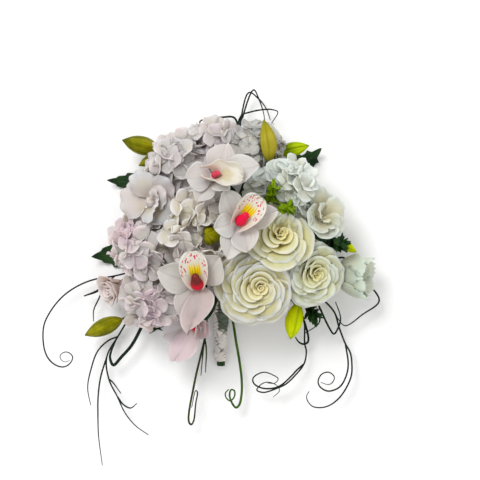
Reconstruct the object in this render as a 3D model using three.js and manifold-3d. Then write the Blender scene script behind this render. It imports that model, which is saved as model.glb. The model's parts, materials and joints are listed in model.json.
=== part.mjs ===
// A one-sided artificial flower bouquet, lying on its back: orchids, roses, hydrangeas and buds on
// wired stems that are bound behind the head, with a ribbon-wrapped handle and curled grass.
// Millimetres. +Z is up, +X right and +Y towards the top of the head; the handle points along -Y.
// The origin is on the surface it lies on, at the flat of the leaf under the binding.
import * as THREE from "three";
import { ConvexHull } from "three/addons/math/ConvexHull.js";
import { mergeVertices } from "three/addons/utils/BufferGeometryUtils.js";
import Module from "manifold-3d";

const wasm = await Module();
wasm.setup();

// Driving dimensions.
const GAP = 0.35; // between pieces that touch on the real thing
const BLADE = 0.9; // thickness of a petal
const LEAF = 1.0; // thickness of a leaf
const BINDING = { at: [-5, -2, 28], size: [16, 20, 17] };
const HANDLE = { top: [-10, -18, 27], tip: [-9, -161, 8], topRadius: 8, tipRadius: 5 };
const RIBBON = { from: 40, bare: 7, gathers: 8, widest: 3 }; // along the handle from its top
const STEM_RADIUS = 2.2;
const WIRE_RADIUS = 1.5; // the thinner stems of buds and filler
const CALYX_RADIUS = 7; // under a rose
const BUD_CALYX_RADIUS = 5;
const LOWEST_STEM = 24; // stems stay above this height, over the leaves and the grass

// Every bloom: where the centre of its face is, which way it faces, its radius, the depth from its
// face to its back, and the turn of its petals about its own axis in degrees. An orchid's lip has a
// direction and a half width, and each of its sepals and petals a direction and a length, in radii.
const ORCHIDS = [
  {
    name: "orchid_front", face: [-35, -56, 122], axis: [-0.1, -0.12, 1], radius: 47, depth: 20,
    lip: [95, 0.35], sepals: [[84, 0.85], [163, 1.05], [242, 0.95]], petals: [[48, 0.9], [284, 1.06]],
  },
  {
    name: "orchid_centre", face: [15, 18, 144], axis: [0.1, -0.08, 1], radius: 41, depth: 20,
    lip: [53, 0.43], sepals: [[124, 0.95], [10, 1.1], [246, 1.08]], petals: [[196, 0.7], [292, 0.84]],
  },
  {
    name: "orchid_top", face: [-15, 73, 138], axis: [-0.12, 0.25, 1], radius: 44, depth: 20,
    lip: [-14, 0.36], sepals: [[72, 0.9], [320, 0.8], [232, 0.8]], petals: [[4, 1.22], [186, 0.7]],
  },
  {
    name: "orchid_low", face: [-43, -108, 75], axis: [-0.6, -0.3, 0.75], radius: 44, depth: 20,
    lip: [66, 0.34], sepals: [[194, 1.08], [322, 0.5], [110, 0.8]], petals: [[245, 1.18], [20, 0.6]],
  },
];
const TEPAL_ARC = { root: 4, rise: 44, fall: -12, cup: 0.12 };
const SEPALS = { width: 0.33, back: -17.5 }; // widths are in radii of the bloom
const PETALS = { width: 0.36, back: -13 };
const LIP = { angle: 0, root: 3.5, back: -7.3, length: 0.88, rise: 42, fall: 2, cup: 0.35 };
const ORCHID_HUB = [[0, -20], [5, -20], [6, -8], [0, -8]]; // [radius, height]
const COLUMN = {
  // [lean over the lip, height, radius]
  rings: [[-1.5, -7.65, 3.4], [0, -2.5, 5.2], [4, 3, 5.8], [9, 7, 4.9], [13, 8.5, 3]],
  sides: 7,
  bloomRadius: 47, // of the bloom that these rings are for
};
const ROSES = [
  { name: "rose_front", face: [34, -61, 114], axis: [0.08, -0.2, 1], radius: 49, depth: 40, turn: 20 },
  { name: "rose_centre", face: [63, 0, 122], axis: [0.15, 0.1, 1], radius: 44, depth: 38, turn: 80 },
  { name: "rose_right", face: [106, -46, 97], axis: [0.38, -0.2, 1], radius: 43, depth: 37, turn: 50 },
  { name: "rose_side", face: [120, 25, 92], axis: [0.55, 0.2, 0.8], radius: 35, depth: 34, turn: 10 },
];
const GARDENIA = {
  name: "gardenia", face: [-100, 44, 106], axis: [-0.45, 0.12, 0.9], radius: 38, depth: 34, turn: 160,
};
const RUFFLE = {
  name: "ruffled_bloom", face: [171, -50, 56], axis: [0.95, -0.1, 0.35], radius: 33, depth: 42, turn: 0,
};
const ROSEBUD = {
  name: "pink_rosebud", face: [-148, -66, 52], axis: [-0.75, -0.4, 0.55], radius: 19, depth: 26, turn: 0,
};

// Rings of petals, the outermost first. The sink of a root is in depths of the bloom below its face,
// and a petal's length is in radii.
const ROSE_RINGS = [
  { count: 5, sink: 0.84, length: 0.94, rise: 60, fall: -14 },
  { count: 5, sink: 0.62, length: 0.74, rise: 72, fall: 26, columns: 2, lean: 2.3 },
];
const GARDENIA_RINGS = [
  { count: 5, sink: 0.82, length: 0.98, rise: 62, fall: -6 },
  { count: 4, sink: 0.6, length: 0.76, rise: 74, fall: 34, lean: 2 },
];
const RUFFLE_RINGS = [
  { count: 5, sink: 0.84, length: 1.3, rise: 36, fall: 84, columns: 4, ragged: 0.05 },
  { count: 4, sink: 0.6, length: 1.0, rise: 58, fall: 84, columns: 4, lean: 2, ragged: 0.05 },
];
const ROSEBUD_RINGS = [{ count: 4, sink: 0.8, length: 1.7, rise: 80, fall: 62, columns: 2, lean: 2.2 }];
// The closed heart of such a bloom, as [hub radii, depths].
const HEART = [[0, -1], [0.85, -1], [1, -0.85], [1, -0.52], [1.5, -0.26], [1.25, -0.03], [0, -0.14]];
const HUBS = { rose: 7.5, rose_side: 6, gardenia: 7, ruffled_bloom: 5, pink_rosebud: 3.4 };
const OVERLAP = 1.25; // a petal's width, in shares of its ring
const LEAN = 1.5; // of one edge of a petal over its neighbour

const HYDRANGEAS = [
  { name: "hydrangea_centre", centre: [-35, 11, 84], axis: [-0.1, 0, 1], radius: 52 },
  { name: "hydrangea_right", centre: [62, 50, 74], axis: [0.4, 0.4, 0.75], radius: 46 },
  { name: "hydrangea_upper_left", centre: [-56, 84, 68], axis: [-0.5, 0.5, 0.7], radius: 41 },
  { name: "hydrangea_top_left", centre: [-18, 103, 64], axis: [-0.1, 0.7, 0.7], radius: 39 },
  { name: "hydrangea_top", centre: [29, 98, 62], axis: [0.2, 0.7, 0.7], radius: 41 },
  { name: "hydrangea_left", centre: [-93, -8, 72], axis: [-0.6, 0, 0.75], radius: 45 },
  { name: "hydrangea_lower_left", centre: [-85, -64, 66], axis: [-0.55, -0.5, 0.66], radius: 44 },
];
const FLORETS = 15; // on each hydrangea
const FLORET_RADIUS = 17;
const LOWEST_FLORET = 106; // degrees from the head's axis
// Distances from the head's centre, in radii of the head.
const RELIEF = { eye: 0.95, notch: 0.94, valley: 0.84, corner: 0.8 };
// Rings that close a head's back: the points in each, and their degrees from the axis.
const SKIRT = { count: 7, polar: 130, distance: 0.62, fixed: false };
const BACK = { count: 6, polar: 169.4, distance: 0.763, fixed: true };

// Orchid buds, from the base on their stem to the tip.
const BUDS = [
  { name: "bud_upper_left", base: [-84, 108, 36], tip: [-130, 120, 44], radius: 12.5 },
  { name: "bud_upper_left_low", base: [-80, 106, 20], tip: [-112, 90, 18], radius: 8 },
  { name: "bud_top", base: [50, 90, 86], tip: [43, 139, 104], radius: 10.5 },
  { name: "bud_top_right", base: [62, 105, 34], tip: [100, 113, 46], radius: 9.5 },
  { name: "bud_centre", base: [-16, 0, 102], tip: [-24, 4, 136], radius: 11.5 },
  { name: "bud_lower_left", base: [-131, -101, 32], tip: [-177, -121, 36], radius: 11.5 },
  { name: "bud_bottom", base: [86, -79, 56], tip: [77, -125, 46], radius: 11.5 },
  { name: "bud_right", base: [140, -6, 46], tip: [157, -18, 56], radius: 5.5 },
];

// A bud's radius along it, both as shares of the whole.
const BUD_OUTLINE = [[0, 0.16], [0.13, 0.6], [0.4, 1], [0.66, 0.88], [0.88, 0.42], [1, 0.08]];

// Serrated leaves: the route of the stalk up to the root of the blade, the tip, and the half width.
const LEAVES = [
  {
    name: "leaf_under", tip: [0, 78, 5], width: 26,
    stalk: [[-9, -55.8, 12], [-8, -44, 12.4], [-4, -36, 7], [-2, -31, 3.5]],
  },
  {
    name: "leaf_upper_left", tip: [-152, 72, 20], width: 19,
    stalk: [[-11, 3, 18], [-29, 14, 9], [-66, 66, 6]],
  },
  {
    name: "leaf_left", tip: [-171, -24, 22], width: 27,
    stalk: [[-12, -3, 18], [-30, -6, 9], [-80, -14, 6]],
  },
  {
    name: "leaf_upper_right", tip: [117, 112, 22], width: 30,
    stalk: [[-1, 4, 17], [18, 18, 9], [50, 48, 6]],
  },
  {
    name: "leaf_right", tip: [142, -12, 16], width: 24,
    stalk: [[0, -1, 17], [24, 0, 9], [70, 4, 6]],
  },
  {
    name: "leaf_lower_left", tip: [-100, -122, 4], width: 20,
    stalk: [[-8, -8, 17], [-22, -25, 9], [-48, -56, 6]],
  },
];
const TEETH = 5; // along each side of a leaf
const FLAT = { from: 0.17, to: 0.72 }; // the shares of a leaf's length between which its rib lies flat

// Leafy filler sprigs: the points along the stalk.
const SPRIGS = [
  { name: "sprig_centre", stalk: [[44, 32, 62], [52, 40, 96], [54, 59, 126]] },
  { name: "sprig_middle", stalk: [[56, 24, 58], [72, 32, 92], [71, 35, 130]] },
  { name: "sprig_right", stalk: [[112, -12, 38], [126, -12, 62], [136, -7, 90]] },
  { name: "sprig_bottom", stalk: [[84, -74, 36], [98, -88, 52], [108, -97, 60]] },
];
const LEAFLETS = 6; // on each
const LEAFLET = [3, 1.3, 6]; // half its width, thickness and length

// Curled grass. The strands of a bunch start from one another and rise as they run, so that their
// curls pass over themselves.
const STRAND_STEPS = 1.15; // for each point of a route
const GRASS = [
  {
    name: "grass_top",
    colour: 0x14301f,
    strands: [
      {
        radius: 1.2,
        route: [
          [0, 10, 20], [3, 60, 16], [10, 110, 16], [16, 142, 18], [32, 185, 20], [39, 172, 22],
          [44, 157, 23], [46, 146, 22],
        ],
      },
      {
        radius: 1.1,
        route: [
          [10, 110, 16], [15, 142, 22], [26, 181, 24], [38, 173, 26], [48, 160, 26], [53, 146, 25],
        ],
      },
      {
        radius: 1.1,
        route: [
          [10, 110, 16], [16, 151, 28], [28, 156, 30], [44, 159, 30], [55, 159, 30], [62, 156, 29],
          [54, 142, 26],
        ],
      },
      {
        radius: 1.4,
        route: [
          [10, 110, 16], [12, 142, 15], [7, 151, 14], [-8, 151, 14], [-23, 149, 14], [-35, 146, 15],
          [-34, 136, 16],
        ],
      },
    ],
  },
  {
    name: "grass_left",
    colour: 0x2b1d24,
    strands: [
      {
        radius: 1.1,
        route: [
          [-12, 0, 21], [-60, -24, 15], [-105, -38, 15], [-142, -48, 16], [-166, -52, 17],
          [-183, -58, 18], [-200, -68, 19], [-212, -79, 20], [-223, -94, 21], [-230, -110, 22],
          [-230, -134, 24], [-225, -149, 25], [-216, -158, 26], [-205, -161, 27], [-197, -157, 28],
          [-193, -149, 29], [-196, -144, 30], [-202, -142, 31], [-208, -146, 32], [-207, -151, 33],
          [-202, -154, 34], [-196, -152, 35],
        ],
      },
      {
        radius: 1.1,
        route: [
          [-142, -48, 16], [-154, -60, 18], [-162, -77, 19], [-168, -91, 20], [-168, -105, 21],
        ],
      },
      { radius: 1.8, route: [[-154, -60, 18], [-164, -67, 20], [-180, -73, 22]] },
    ],
  },
  {
    name: "grass_lower_left",
    colour: 0x101c14,
    strands: [
      {
        radius: 1.2,
        route: [
          [-13, -4, 20], [-50, -46, 17], [-92, -84, 16], [-120, -98, 16], [-138, -124, 17],
          [-152, -150, 18], [-149, -177, 20], [-138, -199, 22], [-129, -218, 23], [-116, -234, 24],
          [-99, -246, 25],
        ],
      },
      {
        radius: 1.1,
        route: [
          [-138, -124, 17], [-150, -129, 18], [-163, -142, 20], [-171, -164, 22], [-175, -187, 24],
          [-171, -209, 26],
        ],
      },
      {
        radius: 1.1,
        route: [
          [-152, -150, 18], [-159, -174, 22], [-162, -199, 24], [-162, -219, 26], [-161, -246, 28],
          [-156, -283, 30],
        ],
      },
      { radius: 1.1, route: [[-149, -177, 20], [-144, -180, 25], [-133, -194, 28]] },
      { radius: 1.1, route: [[-138, -199, 22], [-130, -208, 27], [-121, -212, 28], [-113, -206, 28]] },
      {
        radius: 2.2,
        route: [
          [-92, -84, 16], [-105, -106, 20], [-120, -134, 23], [-133, -149, 24], [-143, -159, 24],
          [-147, -150, 25], [-145, -140, 25], [-140, -128, 24],
        ],
      },
      { radius: 1.3, route: [[-92, -84, 16], [-96, -104, 16], [-89, -113, 17], [-80, -117, 18]] },
    ],
  },
  {
    name: "grass_bottom",
    colour: 0x4a4a1c,
    strands: [
      {
        radius: 1.5,
        route: [
          [-14, -10, 19], [-27, -55, 15], [-26, -89, 17], [-29, -126, 20], [-34, -147, 21],
          [-42, -182, 22], [-49, -229, 24], [-46, -233, 25], [-43, -229, 26], [-40, -206, 28],
          [-38, -192, 29], [-40, -190, 30], [-45, -211, 31],
        ],
      },
      { radius: 1.1, route: [[-29, -126, 20], [-27, -140, 24], [-28, -168, 26]] },
      { radius: 1.1, route: [[-29, -126, 20], [-31, -140, 17], [-34, -173, 17]] },
    ],
  },
  {
    name: "grass_handle",
    colour: 0x6fa51e,
    strands: [
      {
        radius: 1.7,
        route: [
          [0, -10, 17], [8, -55, 12], [4, -92, 12], [7, -110, 13], [10, -130, 14], [14, -153, 15],
          [17, -177, 17], [17, -196, 20], [14, -209, 22], [10, -212, 24], [5, -206, 26], [2, -196, 28],
          [4, -189, 30], [8, -190, 32], [8, -197, 34], [3, -202, 36], [-2, -198, 38], [-3, -192, 40],
          [1, -187, 42],
        ],
      },
    ],
  },
  {
    name: "grass_lower_right",
    colour: 0x16301d,
    strands: [
      {
        radius: 1.1,
        route: [
          [3, -6, 18], [50, -50, 15], [85, -85, 15], [95, -102, 16], [96, -133, 18], [98, -142, 19],
          [95, -158, 20], [83, -173, 22], [72, -183, 23], [61, -188, 24], [44, -193, 25], [36, -190, 26],
          [38, -186, 27], [44, -181, 28], [52, -180, 29], [61, -184, 30], [64, -190, 31], [56, -198, 32],
        ],
      },
      {
        radius: 1.1,
        route: [
          [95, -158, 20], [86, -165, 25], [78, -173, 29], [64, -184, 34], [50, -187, 36], [39, -185, 37],
          [32, -180, 38], [31, -174, 39], [36, -169, 40], [45, -166, 41], [55, -169, 42], [62, -174, 43],
          [58, -179, 44], [49, -179, 45],
        ],
      },
      {
        radius: 1.5,
        route: [
          [85, -85, 15], [95, -104, 20], [100, -130, 22], [94, -133, 22], [88, -130, 22], [84, -124, 22],
        ],
      },
      {
        radius: 1.2,
        route: [
          [85, -85, 15], [104, -88, 22], [114, -98, 25], [113, -107, 26], [96, -119, 27],
        ],
      },
    ],
  },
  {
    name: "grass_right",
    colour: 0x14281c,
    strands: [
      {
        radius: 1.2,
        route: [
          [5, -2, 19], [60, -34, 15], [105, -66, 15], [133, -93, 16], [139, -112, 17], [147, -133, 18],
          [153, -144, 19], [155, -160, 20], [154, -173, 21], [147, -189, 22], [137, -202, 23],
          [125, -210, 24], [114, -212, 25], [105, -210, 26], [99, -203, 27], [98, -197, 28],
          [101, -191, 29],
        ],
      },
      {
        radius: 1.1,
        route: [
          [147, -133, 18], [150, -158, 24], [147, -173, 26], [139, -186, 27], [125, -191, 28],
          [115, -186, 29], [112, -179, 30], [116, -170, 31], [125, -167, 32], [132, -173, 33],
          [129, -180, 34], [124, -182, 35], [115, -179, 36],
        ],
      },
      {
        radius: 1.3,
        route: [
          [105, -66, 15], [128, -32, 16], [144, -25, 17], [160, -41, 18], [174, -56, 19], [189, -79, 21],
          [168, -96, 22], [146, -110, 22], [135, -98, 21],
        ],
      },
      {
        radius: 1.3,
        route: [
          [105, -66, 15], [114, -86, 20], [126, -112, 25], [132, -120, 26], [139, -108, 26],
          [140, -98, 26], [134, -80, 24],
        ],
      },
    ],
  },
];

const COLOURS = {
  stem: 0x1f3a1c,
  ribbon: 0xd8d2cc,
  orchid: 0xeae4e2,
  lip: 0xf2ead8,
  column: 0xd01040,
  rose: 0xf3efd8,
  white: 0xeef1ee,
  blush: 0xe6cfc8,
  hydrangea: 0xe6dfe2,
  bud: 0x8a9a1c,
  leaf: 0x15260f,
  sprig: 0x5f9418,
};

const V = (p) => new THREE.Vector3(...p);
const radians = THREE.MathUtils.degToRad;
const along = (p, axis, distance) => V(p).addScaledVector(V(axis).normalize(), distance);

// A repeatable source of numbers from 0 to 1.
function seeded(seed) {
  let state = seed;
  return () => {
    state = (state * 1664525 + 1013904223) % 4294967296;
    return state / 4294967296;
  };
}

// A closed geometry as a solid.
function solid(geometry) {
  const bare = geometry.index ? geometry.toNonIndexed() : geometry.clone();
  bare.deleteAttribute("normal");
  bare.deleteAttribute("uv");
  const merged = mergeVertices(bare, 1e-4);
  const vertProperties = merged.attributes.position.array;
  const triVerts = new Uint32Array(merged.index.array);
  const made = new wasm.Manifold(new wasm.Mesh({ numProp: 3, vertProperties, triVerts }));
  if (made.volume() > 0) return made;
  return new wasm.Manifold(new wasm.Mesh({ numProp: 3, vertProperties, triVerts: triVerts.reverse() }));
}

// Solids joined into one, without loose scraps.
function fuse(solids) {
  const joined = solids.reduce((whole, next) => whole.add(next));
  return joined.decompose().sort((a, b) => b.volume() - a.volume())[0];
}

function geometryFrom(points, faces) {
  const geometry = new THREE.BufferGeometry().setFromPoints(points);
  geometry.setIndex(faces);
  return geometry;
}

// A thin closed blade from its middle surface(s, w): s runs from root to tip and w across from -1
// to 1. Both faces are split into triangles alike, mirrored about the rib.
function blade(surface, rows, columns, thickness) {
  const at = (i, j) => surface(i / rows, (2 * j) / columns - 1);
  const front = [];
  const back = [];
  for (let i = 0; i <= rows; i++) {
    for (let j = 0; j <= columns; j++) {
      const lengthwise = at(Math.min(i + 0.5, rows), j).sub(at(Math.max(i - 0.5, 0), j));
      const across = at(i, Math.min(j + 0.5, columns)).sub(at(i, Math.max(j - 0.5, 0)));
      const normal = lengthwise.cross(across).normalize();
      front.push(at(i, j).addScaledVector(normal, thickness / 2));
      back.push(at(i, j).addScaledVector(normal, -thickness / 2));
    }
  }
  const count = front.length;
  const index = (i, j) => i * (columns + 1) + j;
  const faces = [];
  const bothSides = (a, b, c) => faces.push(a, b, c, c + count, b + count, a + count);
  for (let i = 0; i < rows; i++) {
    for (let j = 0; j < columns; j++) {
      const corner = [index(i, j), index(i + 1, j), index(i + 1, j + 1), index(i, j + 1)];
      const first = j < columns / 2 ? 0 : 1;
      bothSides(corner[first], corner[first + 1], corner[first + 2]);
      bothSides(corner[first], corner[first + 2], corner[(first + 3) % 4]);
    }
  }
  const rim = [];
  for (let i = 0; i < rows; i++) rim.push(index(i, 0));
  for (let j = 0; j < columns; j++) rim.push(index(rows, j));
  for (let i = rows; i > 0; i--) rim.push(index(i, columns));
  for (let j = columns; j > 0; j--) rim.push(index(0, j));
  rim.forEach((p, k) => {
    const q = rim[(k + 1) % rim.length];
    faces.push(p, p + count, q + count, p, q + count, q);
  });
  return geometryFrom([...front, ...back], faces);
}

// A closed body through rings of points.
function loft(rings) {
  const sides = rings[0].length;
  const faces = [];
  for (let i = 0; i + 1 < rings.length; i++) {
    for (let j = 0; j < sides; j++) {
      const a = i * sides + j;
      const b = i * sides + ((j + 1) % sides);
      faces.push(a, b, b + sides, a, b + sides, a + sides);
    }
  }
  const last = (rings.length - 1) * sides;
  for (let j = 1; j + 1 < sides; j++) {
    faces.push(0, j + 1, j, last, last + j, last + j + 1);
  }
  return geometryFrom(rings.flat(), faces);
}

// A stalk of even thickness along a curve.
function stalk(curve, radius, sides, steps) {
  const corners = Array.from({ length: sides }, (_, k) => {
    const around = (2 * Math.PI * k) / sides;
    return new THREE.Vector2(radius * Math.cos(around), radius * Math.sin(around));
  });
  const section = new THREE.Shape(corners);
  return solid(new THREE.ExtrudeGeometry(section, { steps, extrudePath: curve, bevelEnabled: false }));
}

// A turned body from its [radius, height] profile, standing on its frame.
function turned(profile, sides, frame) {
  const points = profile.map(([r, z]) => new THREE.Vector2(r, z));
  return solid(new THREE.LatheGeometry(points, sides).rotateX(Math.PI / 2).applyMatrix4(frame));
}

// A curve that is sampled evenly between its points, so that tight curls get as many steps as long runs.
function byPoints(curve) {
  curve.getPointAt = (u, target) => curve.getPoint(u, target);
  curve.getTangentAt = (u, target) => curve.getTangent(u, target);
  return curve;
}

const smooth = (points) => new THREE.CatmullRomCurve3(points.map(V), false, "centripetal");

// The frame of a bloom: z outwards along its axis, x as near to the part's +X as it can be.
function frameOf(origin, axis, turn = 0) {
  const z = V(axis).normalize();
  const x = new THREE.Vector3(0, 1, 0).cross(z).normalize();
  const y = z.clone().cross(x);
  const turned = new THREE.Matrix4().makeRotationZ(radians(turn));
  return new THREE.Matrix4().makeBasis(x, y, z).multiply(turned).setPosition(V(origin));
}

// The arc that a petal follows from its root: it leaves at `rise` degrees from the face plane and
// has turned to `fall` at its tip. Gives the distance from the axis, the height and the slope.
function arc({ root, back, length, rise, fall }, bend, s) {
  const start = radians(rise + bend);
  const change = radians(rise - fall + 0.7 * bend);
  const slope = start - change * s;
  return {
    radius: root + (length * (Math.sin(start) - Math.sin(slope))) / change,
    height: back + (length * (Math.cos(slope) - Math.cos(start))) / change,
    slope,
  };
}

// An orchid's tepal or lip: a blade whose half width is given in millimetres, cupped by `cup`.
function tepal(spec, bend) {
  const { angle, width, outline, cup } = spec;
  const outwards = new THREE.Vector3(Math.cos(radians(angle)), Math.sin(radians(angle)), 0);
  const sideways = new THREE.Vector3(-outwards.y, outwards.x, 0);
  return (s, w) => {
    const { radius, height, slope } = arc(spec, bend, s);
    const half = width * outline(s);
    const lift = cup * half * w * w;
    return new THREE.Vector3(0, 0, height + Math.cos(slope) * lift)
      .addScaledVector(outwards, radius - Math.sin(slope) * lift)
      .addScaledVector(sideways, half * w);
  };
}

// A petal that wraps round its bloom by `sweep` degrees each way. One edge leans out and the other in,
// so that neighbours overlap without touching, and its corners are rounded off.
function whorlPetal(spec, bend) {
  const { angle, sweep, lean, ragged = 0 } = spec;
  const outline = (s) => 0.35 + 0.65 * Math.min(1, 2.5 * s) - 0.3 * s ** 4;
  return (s, w) => {
    const notch = ragged * s ** 6 * (1 - Math.cos(4 * Math.PI * w));
    const { radius, height, slope } = arc(spec, bend, s * (1 - 0.14 * s * w * w - notch));
    const lift = lean * w * Math.min(1, 3 * s) + 0.5 * lean * w * w * s;
    const around = radians(angle + sweep * outline(s) * w);
    const reach = radius - Math.sin(slope) * lift;
    const up = height + Math.cos(slope) * lift;
    return new THREE.Vector3(reach * Math.cos(around), reach * Math.sin(around), up);
  };
}

const tepalOutline = (s) => {
  return 0.15 * (1 - s) ** 2 + Math.sin(Math.PI * (0.01 + 0.97 * s ** 1.2)) ** 0.8 * (1 - 0.3 * s ** 6);
};
const lipOutline = (s) => 0.3 * (1 - s) + Math.sin(Math.PI * (0.03 + 0.88 * s)) ** 0.8;

// What has been placed so far.
const placed = [];

function meets(a, b) {
  const [p, q] = [a.boundingBox(), b.boundingBox()];
  if (p.min.some((low, k) => low > q.max[k] || q.min[k] > p.max[k])) return false;
  return a.intersect(b).volume() > 1e-9;
}

const BENDS = [0, 6, 12, 18, 24, 30, 37, 44];

// One petal, bent up until it clears what is placed and its own bloom's other petals. Gives null
// where no bend does.
function petalClear(shape, spec, frame, rows, columns, siblings) {
  for (const bend of BENDS) {
    const surface = shape(spec, bend);
    const proud = solid(blade(surface, rows, columns, BLADE + 2 * GAP).applyMatrix4(frame));
    if (placed.some((other) => meets(proud, other))) continue;
    const made = solid(blade(surface, rows, columns, BLADE).applyMatrix4(frame));
    if (!siblings.some((other) => meets(made, other))) return made;
  }
  return null;
}

const group = new THREE.Group();

// Adds a solid to the model as a named mesh.
function add(name, body, colour, roughness) {
  const mesh = body.getMesh();
  const geometry = new THREE.BufferGeometry();
  geometry.setAttribute("position", new THREE.BufferAttribute(mesh.vertProperties, 3));
  geometry.setIndex(new THREE.BufferAttribute(mesh.triVerts, 1));
  geometry.computeVertexNormals();
  const material = new THREE.MeshStandardMaterial({ color: colour, roughness, metalness: 0 });
  const piece = new THREE.Mesh(geometry, material);
  piece.name = name;
  group.add(piece);
  placed.push(body);
}

// The bound knot of stems behind the head, larger by `extra`.
function knot(extra = 0) {
  const size = BINDING.size.map((half) => half + extra);
  const ball = new THREE.SphereGeometry(1, 8, 5).rotateX(Math.PI / 2);
  return solid(ball.scale(...size).translate(...BINDING.at));
}

// The stem that carries a bloom: from the binding, low under the head, to the bloom's back. A rose's
// ends in a calyx, `calyx` wide.
function branch(back, axis, radius, calyx = 0) {
  const end = along(back.toArray(), axis, -GAP);
  const start = V(BINDING.at);
  const low = start.clone().lerp(end, 0.35);
  const before = along(end.toArray(), axis, -0.4 * start.distanceTo(end));
  before.z = Math.max(before.z, LOWEST_STEM);
  const parts = [stalk(new THREE.CubicBezierCurve3(start, low, before, end), radius, 3, 2)];
  if (calyx > 0) {
    const profile = [[0, -1.3 * calyx], [radius, -1.3 * calyx], [calyx, 0], [0, 0]];
    parts.push(turned(profile, 5, frameOf(end.toArray(), axis)));
  }
  return parts;
}

const handleAxis = V(HANDLE.tip).sub(V(HANDLE.top));
const handleFrame = frameOf(HANDLE.top, handleAxis.toArray());
const handleLength = handleAxis.length();

// The stems, taped together in the binding and the handle.
function stemBundle() {
  const core = [[0, 0], [HANDLE.topRadius, 0], [HANDLE.tipRadius, handleLength], [0, handleLength]];
  const parts = [turned(core, 10, handleFrame), knot()];
  const backOf = ({ face, axis, depth }) => along(face, axis, -depth);
  ORCHIDS.forEach((bloom) => parts.push(...branch(backOf(bloom), bloom.axis, STEM_RADIUS)));
  [...ROSES, GARDENIA, RUFFLE].forEach((bloom) => {
    parts.push(...branch(backOf(bloom), bloom.axis, STEM_RADIUS, CALYX_RADIUS));
  });
  parts.push(...branch(backOf(ROSEBUD), ROSEBUD.axis, WIRE_RADIUS, BUD_CALYX_RADIUS));
  HYDRANGEAS.forEach(({ centre, axis, radius }) => {
    parts.push(...branch(along(centre, axis, -0.75 * radius), axis, STEM_RADIUS));
  });
  BUDS.forEach(({ base, tip }) => parts.push(...branch(V(base), V(tip).sub(V(base)).toArray(), WIRE_RADIUS)));
  SPRIGS.forEach(({ stalk: [first, second] }) => {
    parts.push(...branch(V(first), V(second).sub(V(first)).toArray(), WIRE_RADIUS));
  });
  return fuse(parts);
}

// The ribbon is wound round the handle in gathers that are fuller towards the head.
function ribbonWrap() {
  const to = handleLength - RIBBON.bare;
  const bundle = (z) => HANDLE.topRadius + ((HANDLE.tipRadius - HANDLE.topRadius) * z) / handleLength + GAP;
  const outside = [];
  for (let k = 0; k <= 2 * RIBBON.gathers; k++) {
    const part = k / (2 * RIBBON.gathers);
    const z = RIBBON.from + (to - RIBBON.from) * part;
    const gather = k % 2 ? 1.8 : 0.9;
    outside.push([bundle(z) + gather + RIBBON.widest * (1 - part) ** 1.5 * (k % 2 ? 1 : 0.7), z]);
  }
  const ends = [[bundle(to), to], [bundle(RIBBON.from), RIBBON.from]];
  return turned([ends[1], ...outside, ...ends], 10, handleFrame);
}

// An orchid: five tepals on a hub, a lip over them, and the column over the lip.
function orchid({ name, face, axis, radius, lip: [turn, lipWidth], sepals, petals }) {
  const frame = frameOf(face, axis, turn);
  const made = [];
  [{ tepals: sepals, ...SEPALS }, { tepals: petals, ...PETALS }].forEach(({ tepals, width, back }) => {
    tepals.forEach(([direction, length]) => {
      const size = { angle: direction - turn, back, width: width * radius, length: length * radius };
      const spec = { ...TEPAL_ARC, ...size, outline: tepalOutline };
      const next = petalClear(tepal, spec, frame, 4, 2, made);
      if (next) made.push(next);
    });
  });
  add(name + "_tepals", fuse([turned(ORCHID_HUB, 6, frame), ...made]), COLOURS.orchid, 0.5);

  const lip = { ...LIP, length: LIP.length * radius, width: lipWidth * radius, outline: lipOutline };
  add(name + "_lip", petalClear(tepal, lip, frame, 4, 4, []), COLOURS.lip, 0.45);
  add(name + "_column", solid(loft(columnRings(radius)).applyMatrix4(frame)), COLOURS.column, 0.3);
}

// Rings of the column, which leans out over the lip and is a little wider than it is deep.
function columnRings(radius) {
  const scale = radius / COLUMN.bloomRadius;
  return COLUMN.rings.map(([lean, height, size]) => {
    const tilt = Math.max(0, (height + 4) / 16);
    return Array.from({ length: COLUMN.sides }, (_, k) => {
      const around = (2 * Math.PI * k) / COLUMN.sides;
      const forward = lean + size * Math.cos(around) * (1 - 0.55 * tilt);
      const side = 1.15 * size * Math.sin(around);
      const up = height - 0.8 * size * Math.cos(around) * tilt;
      return new THREE.Vector3(forward * scale, side * scale, up);
    });
  });
}

// A bloom of petals in rings round a closed heart.
function ringedBloom({ name, face, axis, radius, depth, turn }, rings, hub, colour) {
  const frame = frameOf(face, axis, turn);
  const made = [];
  rings.forEach(({ count, sink, length, columns = 3, ...ring }, k) => {
    for (let n = 0; n < count; n++) {
      const angle = (360 * (n + 0.5 * (k % 2))) / count + 13 * k;
      const sweep = (180 / count) * OVERLAP;
      const size = { angle, sweep, root: hub - 1, back: -sink * depth, length: length * radius };
      const next = petalClear(whorlPetal, { lean: LEAN, ...ring, ...size }, frame, 2, columns, made);
      if (next) made.push(next);
    }
  });
  const heart = HEART.map(([r, z]) => [r * hub, z * depth]);
  add(name, fuse([turned(heart, 6, frame), ...made]), colour, 0.6);
}

// An orchid bud: a pod with three lobes that narrows to a point.
function bud({ name, base, tip, radius }) {
  const axis = V(tip).sub(V(base));
  const rings = BUD_OUTLINE.map(([s, r]) =>
    Array.from({ length: 6 }, (_, k) => {
      const a = (Math.PI * k) / 3;
      const lobe = radius * r * (k % 2 ? 0.86 : 1);
      const bow = 0.18 * radius * Math.sin(Math.PI * s);
      return new THREE.Vector3(lobe * Math.cos(a) + bow, lobe * Math.sin(a), s * axis.length());
    }),
  );
  add(name, solid(loft(rings).applyMatrix4(frameOf(base, axis.toArray()))), COLOURS.bud, 0.4);
}

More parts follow.
